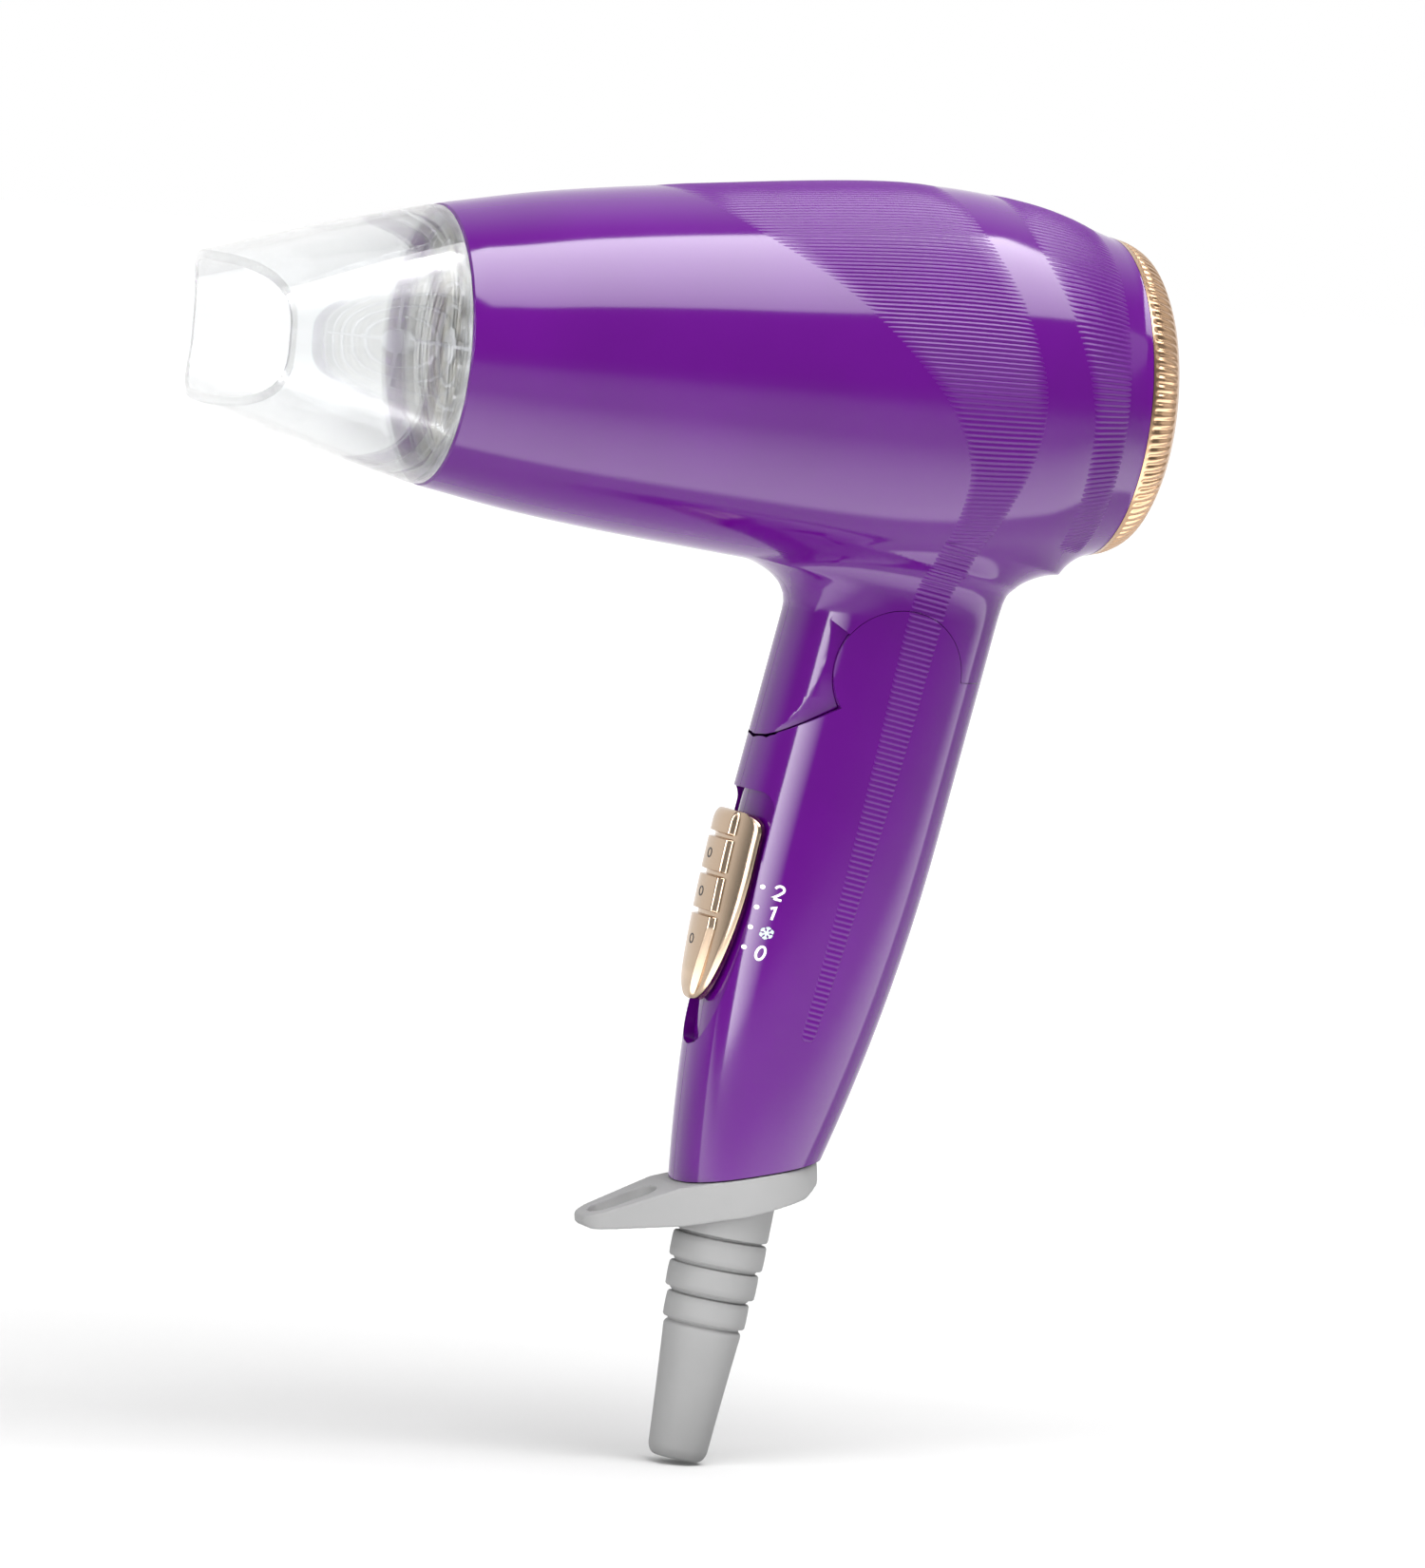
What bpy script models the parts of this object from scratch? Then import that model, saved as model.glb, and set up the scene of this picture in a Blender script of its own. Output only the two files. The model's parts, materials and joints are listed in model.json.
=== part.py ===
"""Folding travel hair dryer, built as separate pieces.

World frame in metres: the origin is the middle of the hand grip on the plane of symmetry,
+Z is up, -X is where the air comes out, +Y is the user's right when the nozzle points away.
Sizes below are in millimetres and are scaled by MM as each mesh is made.
"""

import math

import bmesh
import bpy
from mathutils import Matrix, Vector

MM = 0.001

# Driving dimensions
MOUTH_X, BARREL_Z = -84.0, 112.0  # centre of the barrel's mouth
BARREL_STATIONS = ((0, 26.5), (22, 30.5), (50, 33.9), (90, 37.4), (116, 35.6), (133.8, 30.5))
WALL = 1.8
SPLIT_GAP = 0.15  # half the gap between the left and right shells
SEGMENTS = 32

HANDLE_TILT = 10.7  # degrees, top of the handle to the rear
GRIP_HALF_DEPTH, GRIP_HALF_WIDTH = 20.2, 15.0
GRIP_TAPER_FROM = 30.0
DEPTH_TAPER, WIDTH_TAPER = 0.0014, 0.0006
GRIP_POWER = 2.4  # exponent of the oval section
FRONT_WALL = 3.6

PIVOT_Q = 57.5  # the fold axis, up the handle from the origin
LOBE_RADIUS = 12.8
SEAM_GAP = 0.3
FRONT_SEAM, BACK_SEAM = 220.6, 9.8  # degrees round the pivot in the handle's plane
FOLD_RANGE = 66.0
TONGUE_RADIUS = GRIP_HALF_DEPTH / math.cos(math.radians(FRONT_SEAM - 180))
TONGUE_PINCH = 1.9
CHEEK_INNER = 10.8  # |Y| of the handle cheeks' inner faces
PLATE_OUTER, PLATE_INNER, PLATE_RADIUS = 10.5, 8.9, 14.5
PIN_RADIUS = 3.0

SLIDER_TILT = -4.5  # degrees from the handle's axis
SLIDER_P, SLIDER_Q = -19.6, 9.0
SLIDER_TOP, SLIDER_SHOULDER, SLIDER_TIP, SLIDER_HALF_WIDTH = 16.4, 7.4, -20.3, 9.6
SLIDE_UP, SLIDE_DOWN = 4.0, 8.0

# Screws: the ones across the casing as (p, q), with p to the rear and q up the handle
HANDLE_SCREWS = (("handle_screw_upper", 13.0, 22.0), ("handle_screw_lower", 8.5, -25.0))
NECK_SCREW = (12.0, 77.0)
POST_RADIUS, COUNTERBORE_RADIUS, SHANK_HOLE_RADIUS = 4.2, 2.9, 1.6
CLAMP_P, CLAMP_Q, CLAMP_SCREW_Y, CLAMP_POST_RADIUS = 5.0, -33.0, 6.2, 2.6

CAP_FRONT, CAP_REAR = 134.1, 141.0
NOZZLE_LENGTH, NOZZLE_WIDE, NOZZLE_HIGH, NOZZLE_WALL = 43.0, 32.0, 14.0, 1.8

BOOT_TILT, BOOT_X, BOOT_Z = 6.7, -9.65, -51.0


def clear_scene():
    for obj in list(bpy.data.objects):
        bpy.data.objects.remove(obj, do_unlink=True)


def new_collection(name):
    collection = bpy.data.collections.new(name)
    bpy.context.scene.collection.children.link(collection)
    return collection


def empty(name, location, rotation=(0, 0, 0), parent=None):
    """A frame of reference: location in mm, rotation in degrees."""
    obj = bpy.data.objects.new(name, None)
    PARTS.objects.link(obj)
    obj.location = Vector(location) * MM
    obj.rotation_euler = [math.radians(angle) for angle in rotation]
    obj.parent = parent
    return obj


def material(name, color, roughness, metallic=0.0, alpha=1.0):
    made = bpy.data.materials.new(name)
    made.use_nodes = True
    shader = made.node_tree.nodes["Principled BSDF"]
    shader.inputs["Base Color"].default_value = (*color, 1.0)
    shader.inputs["Roughness"].default_value = roughness
    shader.inputs["Metallic"].default_value = metallic
    shader.inputs["Alpha"].default_value = alpha
    made.diffuse_color = (*color, alpha)
    return made


def piece(name, bm, finish=None, parent=None, location=(0, 0, 0), rotation=(0, 0, 0)):
    """A mesh object. With a finish it is a part of the dryer, and without one it is a cutter."""
    bmesh.ops.recalc_face_normals(bm, faces=bm.faces)
    mesh = bpy.data.meshes.new(name)
    bm.to_mesh(mesh)
    bm.free()
    obj = bpy.data.objects.new(name, mesh)
    obj.location = Vector(location) * MM
    obj.rotation_euler = [math.radians(angle) for angle in rotation]
    obj.parent = parent
    if finish is None:
        CUTTERS.objects.link(obj)
        obj.hide_render = True
        obj.display_type = "WIRE"
    else:
        PARTS.objects.link(obj)
        mesh.materials.append(MATERIALS[finish].copy())
        mesh.shade_smooth()
        mesh.set_sharp_from_angle(angle=math.radians(35))
    return obj


def boolean(obj, other, operation="DIFFERENCE"):
    modifier = obj.modifiers.new(other.name, "BOOLEAN")
    modifier.object = other
    modifier.operation = operation
    return obj


def turned(name, profile, finish=None, parent=None, location=(0, 0, 0), rotation=(0, 0, 0), steps=SEGMENTS):
    """A body of revolution about local Z from (radius, z) points that run down its outer side."""
    bm = bmesh.new()
    points = [bm.verts.new((radius * MM, 0, z * MM)) for radius, z in profile]
    for start, end in zip(points, points[1:]):
        bm.edges.new((start, end))
    if profile[0][0] > 0:
        bm.edges.new((points[-1], points[0]))
    obj = piece(name, bm, finish, parent, location, rotation)
    screw = obj.modifiers.new("turn", "SCREW")
    screw.steps = screw.render_steps = steps
    screw.use_merge_vertices = True
    screw.merge_threshold = 1e-5
    return obj


def add_box(bm, size, centre, turn=Matrix()):
    scale = Matrix.Diagonal((*[side * MM for side in size], 1))
    place = Matrix.Translation(Vector(centre) * MM)
    bmesh.ops.create_cube(bm, size=1, matrix=turn @ place @ scale)


def add_rod(bm, radius, length, centre, axis="Z", segments=16, turn=Matrix()):
    """A cylinder of this length, centred, along a main axis."""
    toward = {
        "X": Matrix.Rotation(math.pi / 2, 4, "Y"),
        "Y": Matrix.Rotation(-math.pi / 2, 4, "X"),
        "Z": Matrix(),
    }
    bmesh.ops.create_cone(
        bm,
        cap_ends=True,
        segments=segments,
        radius1=radius * MM,
        radius2=radius * MM,
        depth=length * MM,
        matrix=turn @ Matrix.Translation(Vector(centre) * MM) @ toward[axis],
    )


def loft(rings):
    """A closed body through rings of (x, y, z) points in mm, with a fan of faces on each end."""
    bm = bmesh.new()
    rows = [[bm.verts.new(Vector(point) * MM) for point in ring] for ring in rings]
    for low, high in zip(rows, rows[1:]):
        for i in range(len(low)):
            after = (i + 1) % len(low)
            bm.faces.new((low[i], low[after], high[after], high[i]))
    bm.faces.new(rows[0])
    bm.faces.new(rows[-1])
    return bm


def prism(outline, half_width, plane="XZ", centre=0.0):
    """An outline of points in mm, extruded to this half-width either side of its plane."""
    bm = bmesh.new()
    to_3d = {
        "XZ": lambda u, v, w: (u, w, v),
        "YZ": lambda u, v, w: (w, u, v),
        "XY": lambda u, v, w: (u, v, w),
    }[plane]
    sides = []
    for offset in (centre - half_width, centre + half_width):
        sides.append([bm.verts.new(Vector(to_3d(u, v, offset)) * MM) for u, v in outline])
        bm.faces.new(sides[-1])
    for i in range(len(outline)):
        after = (i + 1) % len(outline)
        bm.faces.new((sides[0][i], sides[0][after], sides[1][after], sides[1][i]))
    return bm


def wire(name, points, radius, finish, parent=None, location=(0, 0, 0), rotation=(0, 0, 0)):
    curve = bpy.data.curves.new(name, "CURVE")
    curve.dimensions = "3D"
    curve.bevel_depth = radius * MM
    curve.bevel_resolution = 2
    curve.use_fill_caps = True
    spline = curve.splines.new("POLY")
    spline.points.add(len(points) - 1)
    for target, point in zip(spline.points, points):
        target.co = (*(Vector(point) * MM), 1)
    curve.materials.append(MATERIALS[finish].copy())
    obj = bpy.data.objects.new(name, curve)
    PARTS.objects.link(obj)
    obj.location = Vector(location) * MM
    obj.rotation_euler = [math.radians(angle) for angle in rotation]
    obj.parent = parent
    return obj


def smooth_through(stations, count):
    """Points on a Catmull-Rom curve through the stations, count to each stretch."""
    ends = [Vector(station) for station in stations]
    ends = [2 * ends[0] - ends[1], *ends, 2 * ends[-1] - ends[-2]]
    points = []
    for i in range(1, len(ends) - 2):
        before, start, end, after = ends[i - 1 : i + 3]
        for step in range(count):
            t = step / count
            points.append(
                0.5
                * (
                    2 * start
                    + (end - before) * t
                    + (2 * before - 5 * start + 4 * end - after) * t**2
                    + (3 * start - before - 3 * end + after) * t**3
                )
            )
    return [*points, ends[-2]]


def arc(centre, radius, start, end, count):
    """Points from one angle to another, in degrees."""
    angles = [math.radians(start + (end - start) * i / count) for i in range(count + 1)]
    return [(centre[0] + radius * math.cos(a), centre[1] + radius * math.sin(a)) for a in angles]


def polar(angle, radius):
    """A point of the handle's plane, given round the pivot."""
    turn = math.radians(angle)
    return (radius * math.cos(turn), PIVOT_Q + radius * math.sin(turn))


# The handle's oval section


def grip_depth(q):
    return GRIP_HALF_DEPTH - DEPTH_TAPER * max(0.0, GRIP_TAPER_FROM - q) ** 2


def grip_width(q):
    return GRIP_HALF_WIDTH - WIDTH_TAPER * max(0.0, GRIP_TAPER_FROM - q) ** 2


def oval(q, front, back, width, count=32):
    """A ring of the handle at height q, with its own depth in front of and behind the axis."""
    ring = []
    for i in range(count):
        turn = 2 * math.pi * i / count
        c, s = math.cos(turn), math.sin(turn)
        depth = back if c > 0 else front
        x = math.copysign(depth * abs(c) ** (2 / GRIP_POWER), c)
        y = math.copysign(width * abs(s) ** (2 / GRIP_POWER), s)
        ring.append((x, y, q))
    return ring


def grip_rings(heights, inset, front_inset=None):
    front_inset = inset if front_inset is None else front_inset
    return [oval(q, grip_depth(q) - front_inset, grip_depth(q) - inset, grip_width(q) - inset) for q in heights]


def fillet(q, start, radius=8.0):
    """How far the neck has flared at height q towards the barrel."""
    rise = min(max(q - start, 0.0), radius * 0.95)
    return radius - math.sqrt(radius**2 - rise**2)


def neck_rings(inset):
    front_flare, side_flare, back_flare = 64.8, 72.0, 77.0
    heights = (30, 57.5, 64.8, 68, 70.5, 72.4, 75, 77.5, 80, 82.5, 84.6, 88)
    return [
        oval(
            q,
            grip_depth(q) - inset + 1.6 * fillet(q, front_flare),
            grip_depth(q) - inset + 1.6 * fillet(q, back_flare),
            grip_width(q) - inset + 0.8 * fillet(q, side_flare),
        )
        for q in heights
    ]


# The fold joint


def tongue_half_width(radius):
    """|Y| of the neck's tongue at this distance from the pivot, so that it passes inside the handle's walls."""
    depth = min(radius * math.cos(math.radians(FRONT_SEAM - 180)) / GRIP_HALF_DEPTH, 1.0)
    flush = GRIP_HALF_WIDTH * (1 - depth**GRIP_POWER) ** (1 / GRIP_POWER)
    return flush - TONGUE_PINCH * (1 - (radius / TONGUE_RADIUS) ** 4)


def tongue_profile(gap):
    """(radius, z) of the tongue's swept body about the fold axis, running down its outer side."""
    lobe = LOBE_RADIUS + SEAM_GAP / 2
    radii = [15, 17.5, 20, 22.5, 24.5, 25.8, TONGUE_RADIUS]
    upper = [(radius + gap, tongue_half_width(radius) + gap) for radius in radii]
    half = [(0, CHEEK_INNER - 0.05), (lobe, CHEEK_INNER - 0.05), (lobe, tongue_half_width(lobe) + gap), *upper]
    return [*half, *[(radius, -z) for radius, z in reversed(half)]]


def handle_outline(gap):
    """The handle's side outline: two radial seams and the round lobe between them, grown by the gap."""
    reach = 60.0
    radius = LOBE_RADIUS + gap
    swing = math.degrees(gap / radius)
    lobe = arc((0, PIVOT_Q), radius, BACK_SEAM + swing, FRONT_SEAM - swing, 24)
    front = polar(FRONT_SEAM, reach)
    back = polar(BACK_SEAM, reach)
    bottom = -70.0
    return [(back[0], back[1] + gap), *lobe, (front[0], front[1] + gap), (-reach, bottom), (reach, bottom)]


def make_handle_solids():
    """Cutters that the two handle shells and the neck share."""
    tools = {}
    tools["outline"] = piece("cut_handle_outline", prism(handle_outline(0), 30), parent=HANDLE)
    tools["clear"] = piece("cut_handle_clear", prism(handle_outline(SEAM_GAP), 30), parent=HANDLE)
    slope = 0.42
    foot = [(-60, -40.1 - 60 * slope), (60, -40.1 + 60 * slope), (60, -90), (-60, -90)]
    tools["foot"] = piece("cut_handle_foot", prism(foot, 30), parent=HANDLE)

    inside = grip_rings((-60, -46, -30, -10, 10, 30, 90), WALL, FRONT_WALL)
    cavity = piece("cut_handle_cavity", loft(inside), parent=HANDLE)
    for side in (-1, 1):
        bm = bmesh.new()
        add_rod(bm, LOBE_RADIUS + 1, 10, (0, side * (CHEEK_INNER + 5), PIVOT_Q), "Y", 32)
        boolean(cavity, piece(f"cut_cheek_{side}", bm, parent=HANDLE))
        bm = bmesh.new()
        add_rod(bm, CLAMP_POST_RADIUS, 30, (CLAMP_P - 1.7 - 15, side * CLAMP_SCREW_Y, CLAMP_Q), "X", 20)
        boolean(cavity, piece(f"cut_clamp_post_{side}", bm, parent=HANDLE))
    for name, p, q in HANDLE_SCREWS:
        bm = bmesh.new()
        add_rod(bm, POST_RADIUS, 40, (p, 0, q), "Y", 24)
        boolean(cavity, piece(f"cut_{name}_post", bm, parent=HANDLE))
    tools["cavity"] = cavity

    placed = {"parent": HANDLE, "location": (0, 0, PIVOT_Q), "rotation": (-90, 0, 0), "steps": 48}
    swept = turned("cut_tongue_swept", tongue_profile(0.35), **placed)
    below = [(0, PIVOT_Q), *arc((0, PIVOT_Q), 40, FRONT_SEAM - 12, FRONT_SEAM + FOLD_RANGE + 4, 8)]
    tools["sweep"] = boolean(piece("cut_tongue_sweep", prism(below, 30), parent=HANDLE), swept, "INTERSECT")
    tongue = turned("cut_tongue_body", tongue_profile(0), **placed)
    sector = arc((0, PIVOT_Q), LOBE_RADIUS - 2, FRONT_SEAM + 10, FRONT_SEAM - FOLD_RANGE, 12)
    rim = arc((0, PIVOT_Q), TONGUE_RADIUS + 1.0, FRONT_SEAM - FOLD_RANGE, FRONT_SEAM + 10, 12)
    tools["pinch"] = boolean(piece("cut_tongue_pinch", prism([*sector, *rim], 30), parent=HANDLE), tongue)
    return tools


def slider_outline(grow, top, shoulder, tip):
    """The thumb slider's shield in (y, s): straight across the top, and from the shoulder to a point."""
    half, corner, steps = SLIDER_HALF_WIDTH + grow, 3.0, 10
    right = arc((half - corner, top - corner), corner, 90, 0, 2)
    for i in range(steps + 1):
        turn = i / steps * math.pi / 2
        right.append((half * math.cos(turn) ** 0.8, shoulder - (shoulder - tip) * math.sin(turn)))
    left = [(-y, s) for y, s in reversed(right[:-1])]
    return [*right[:-1], (0, tip), *left]


def make_handle(tools):
    shoulder = SLIDER_SHOULDER - SLIDE_DOWN - 0.5
    shape = slider_outline(0.8, SLIDER_TOP + SLIDE_UP + 0.5, shoulder, SLIDER_TIP - SLIDE_DOWN - 0.5)
    recess = piece("cut_slider_recess", prism(shape, 14, "YZ", -8), parent=SLIDER_MOUNT)
    floor = piece("cut_recess_floor", loft(grip_rings((-60, -46, -30, -15, 0, 15, 30, 60), 2.0)), parent=HANDLE)
    boolean(recess, floor)
    room = bmesh.new()
    add_rod(room, PLATE_RADIUS + 0.4, 2 * (CHEEK_INNER - 0.05), (0, 0, PIVOT_Q), "Y", 32)
    room = piece("cut_plate_room", room, parent=HANDLE)
    slot = bmesh.new()
    add_box(slot, (20, 4.4, SLIDE_UP + SLIDE_DOWN + 5), (0, 0, (SLIDE_UP - SLIDE_DOWN) / 2))
    slot = piece("cut_slider_slot", slot, parent=SLIDER_MOUNT)

    for name, side in (("left", -1), ("right", 1)):
        half = bmesh.new()
        add_box(half, (120, 60, 240), (0, -side * (30 - SPLIT_GAP), 0))
        half = piece(f"cut_handle_{name}", half, parent=HANDLE)
        shell = piece(
            f"handle_shell_{name}",
            loft(grip_rings((-52, -46, -38, -30, -20, -10, 0, 10, 20, 30, 45, 60, 72), 0)),
            "purple",
            HANDLE,
        )
        boolean(shell, tools["outline"], "INTERSECT")
        boolean(shell, tools["foot"])
        boolean(shell, tools["cavity"])
        boolean(shell, tools["sweep"])
        boolean(shell, room)
        boolean(shell, recess)
        boolean(shell, slot)
        hole = bmesh.new()
        add_rod(hole, PIN_RADIUS + 0.3, 1.8, (0, side * (CHEEK_INNER + 0.85), PIVOT_Q), "Y", 24)
        boolean(shell, piece(f"cut_pin_seat_{name}", hole, parent=HANDLE))
        for screw_name, p, q in HANDLE_SCREWS:
            screw_holes(shell, side, screw_name, HANDLE, p, q)
        hole = bmesh.new()
        add_rod(hole, SHANK_HOLE_RADIUS, 8, (CLAMP_P - 5, side * CLAMP_SCREW_Y, CLAMP_Q), "X", 16)
        boolean(shell, piece(f"cut_clamp_screw_{name}", hole, parent=HANDLE))
        boolean(shell, half)
        pin = [(0, 1.9), (PIN_RADIUS, 1.9), (PIN_RADIUS, -2.6), (4.6, -2.6), (4.6, -3.4), (0, -3.4)]
        turned(
            f"hinge_pin_{name}",
            pin,
            "steel",
            HANDLE,
            (0, side * (CHEEK_INNER - 0.4), PIVOT_Q),
            (-90 * side, 0, 0),
            24,
        )


def box_piece(name, size, centre, finish, parent):
    bm = bmesh.new()
    add_box(bm, size, centre)
    return piece(name, bm, finish, parent)


def rod_piece(name, radius, length, centre, axis, finish, parent, segments=16):
    bm = bmesh.new()
    add_rod(bm, radius, length, centre, axis, segments)
    return piece(name, bm, finish, parent)


def screw(name, length, parent, location, rotation):
    """A pan-head screw whose shank runs down from its head along local -Z."""
    head = [(0, 1.6), (1.8, 1.6), (2.5, 0.8), (2.5, 0), (1.25, 0)]
    head += [(1.25, 0.6 - length), (0.5, -length), (0, -length)]
    return turned(name, head, "steel", parent, location, rotation, 16)


def screw_holes(shell, side, name, parent, p, q):
    """In a screw's post, its shank hole, and on the right-hand side, where it enters, the counterbore."""
    if side > 0:
        bm = bmesh.new()
        add_rod(bm, COUNTERBORE_RADIUS, 20, (p, 16, q), "Y", 20)
        boolean(shell, piece(f"cut_{name}_head", bm, parent=parent))
    bm = bmesh.new()
    add_rod(bm, SHANK_HOLE_RADIUS, 16, (p, 0, q), "Y", 16)
    boolean(shell, piece(f"cut_{name}_shank_{side}", bm, parent=parent))


def make_grip_fasteners():
    for name, p, q in HANDLE_SCREWS:
        screw(name, 12.0, HANDLE, (p, 6.4, q), (-90, 0, 0))
    screw("neck_screw", 12.0, NECK, (NECK_SCREW[0], 6.4, NECK_SCREW[1]), (-90, 0, 0))


def make_switch():
    housing = box_piece("switch_housing", (10.4, 14, 28), (14.8, 0, -1), "black_plastic", SLIDER_MOUNT)
    groove = bmesh.new()
    add_box(groove, (5.6, 5.2, 20), (9.8, 0, -2))
    boolean(housing, piece("cut_switch_groove", groove, parent=SLIDER_MOUNT))
    for i in range(3):
        box_piece(f"switch_terminal_{i + 1}", (0.8, 4, 5.4), (11.5 + 3.2 * i, 0, -18.0), "brass", SLIDER_MOUNT)

    lever = box_piece("switch_lever", (3.6, 6.4, 6.4), (7.4, 0, 0), "black_plastic", SLIDER)
    foot = bmesh.new()
    add_box(foot, (3.6, 4.4, 5), (10.4, 0, 0))
    boolean(lever, piece("join_lever_foot", foot, parent=SLIDER), "UNION")
    notch = bmesh.new()
    add_box(notch, (6, 4.0, 3.6), (5.9, 0, 0))
    boolean(lever, piece("cut_lever_notch", notch, parent=SLIDER))

    shape = slider_outline(0, SLIDER_TOP, SLIDER_SHOULDER, SLIDER_TIP)
    button = piece("slider_button", prism(shape, 13, "YZ", -8), "gold", SLIDER)
    heights = (-40, -20, -10, 0, 10, 20, 30, 45)
    skin = piece("cut_slider_skin", loft(grip_rings(heights, -2.2)), parent=HANDLE)
    under = piece("cut_slider_under", loft(grip_rings(heights, 0.9)), parent=HANDLE)
    boolean(button, skin, "INTERSECT")
    boolean(button, under)
    for i, s in enumerate((11.2, 3.9, -3.7)):
        groove = bmesh.new()
        add_box(groove, (2.2, 11, 0.9), (-1.5, 0, s))
        boolean(button, piece(f"cut_slider_groove_{i}", groove, parent=SLIDER))
    stem = bmesh.new()
    add_box(stem, (8, 3.4, 3), (4.4, 0, 0))
    boolean(button, piece("join_slider_stem", stem, parent=SLIDER), "UNION")


def make_leads():
    hinge = (0.5, 0, PIVOT_Q - 1.5)
    supply = smooth_through([(1, -1.6, -44), (0, -1.6, -34), (-4, -1.6, -24), (-7.6, -1.6, -13.6)], 2)
    wire("supply_lead_live", supply, 0.9, "black_rubber", HANDLE)
    neutral = [(1, 1.6, -44), (0.8, 1.6, -34), (0.5, 2.2, -26), (3, 2.5, -17), (5.5, 2.5, -8), (6, 2.5, 10)]
    neutral += [(6.5, 2.5, 24), (9.5, 2.5, 33.5), (8, 1.5, 41.5), (3, 0.6, 50), hinge]
    neutral = smooth_through(neutral, 2)
    wire("supply_lead_neutral", neutral, 0.9, "white_rubber", HANDLE)
    switched = [(-5, -2, 24.9), (2, -2.5, 27.0), (9, -2.6, 32), (9.5, -2.6, 38), (4, -2.6, 48)]
    switched = smooth_through([*switched, (0.5, -2.6, PIVOT_Q - 1.5)], 2)
    wire("switched_lead", switched, 0.9, "red_rubber", HANDLE)
    leads = (("barrel_lead_live", -2.6, "red_rubber"), ("barrel_lead_neutral", 0, "white_rubber"))
    for name, y, finish in leads:
        route = [(0.5, y, PIVOT_Q + 1.5), (0, y, 64), (-6, y, 68), (-16, y * 2, 73), (-24, y * 2.5, 79.5)]
        route += [(-28.5, y * 2.5, 88)]
        wire(name, smooth_through(route, 3), 0.9, finish, NECK)


def make_cord_entry():
    clamp = box_piece("cord_clamp", (3.0, 17, 5), (CLAMP_P, 0, CLAMP_Q), "black_plastic", HANDLE)
    for i, y in enumerate((-CLAMP_SCREW_Y, CLAMP_SCREW_Y)):
        hole = bmesh.new()
        add_rod(hole, SHANK_HOLE_RADIUS, 8, (CLAMP_P, y, CLAMP_Q), "X", 16)
        boolean(clamp, piece(f"cut_clamp_{i}", hole, parent=HANDLE))
        screw(f"cord_clamp_screw_{i + 1}", 8.6, HANDLE, (CLAMP_P + 1.8, y, CLAMP_Q), (0, 90, 0))

    side = [(14.9, -0.3), (13.2, -4.5), (9.2, -6.4), (-4, -7.6), (-15, -7.8)]
    side += [(-32.0, -6.2), (-33.4, -5.0), (-32.8, -3.5), (-15, -0.3)]
    collar = piece("hang_loop_collar", prism(side, 16), "grey_rubber", COLLAR)
    oval_part = arc((0, 0), 1.0, -115, 115, 24)
    tip = arc((-27.2, 0), 6.4, 105, 255, 10)
    plan = [*[(14.9 * u, 12.4 * y) for u, y in oval_part], *tip]
    boolean(collar, piece("cut_collar_plan", prism(plan, 14, "XY"), parent=COLLAR), "INTERSECT")
    hole = [*arc((-21.4, 0), 4.2, -90, 90, 8), *arc((-27.0, 0), 3.9, 90, 270, 8)]
    boolean(collar, piece("cut_hang_hole", prism(hole, 14, "XY"), parent=COLLAR))
    bore = bmesh.new()
    add_rod(bore, 4.2, 30, (0, 0, 4), "Z", 24)
    boolean(collar, piece("cut_collar_bore", bore, parent=BOOT))

    bumps = [(9.0, -4.5), (8.6, -10.3), (7.9, -16.0)]
    profile = [(9.0, 9.0), (9.0, -0.2), (8.3, -0.9), (7.5, -1.4)]
    for radius, z in bumps:
        profile += [(radius, z + 1.9), (radius, z - 1.9), (radius - 1.6, z - 2.9)]
    profile += [(7.3, -19.6), (7.3, -20.4), (6.4, -32), (5.6, -43.2), (5.0, -44.6), (3.6, -44.6), (3.6, 9.0)]
    boot = turned("strain_relief", profile, "grey_rubber", BOOT, steps=24)
    above = [(16, -5.9), (9.2, -6.75), (-4, -7.95), (-16, -8.15), (-16, 12), (16, 12)]
    boolean(boot, piece("cut_boot_top", prism(above, 20), parent=COLLAR))


def barrel_profile():
    return [(point.y, point.x) for point in smooth_through([(x, r, 0) for x, r in BARREL_STATIONS], 2)]


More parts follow.
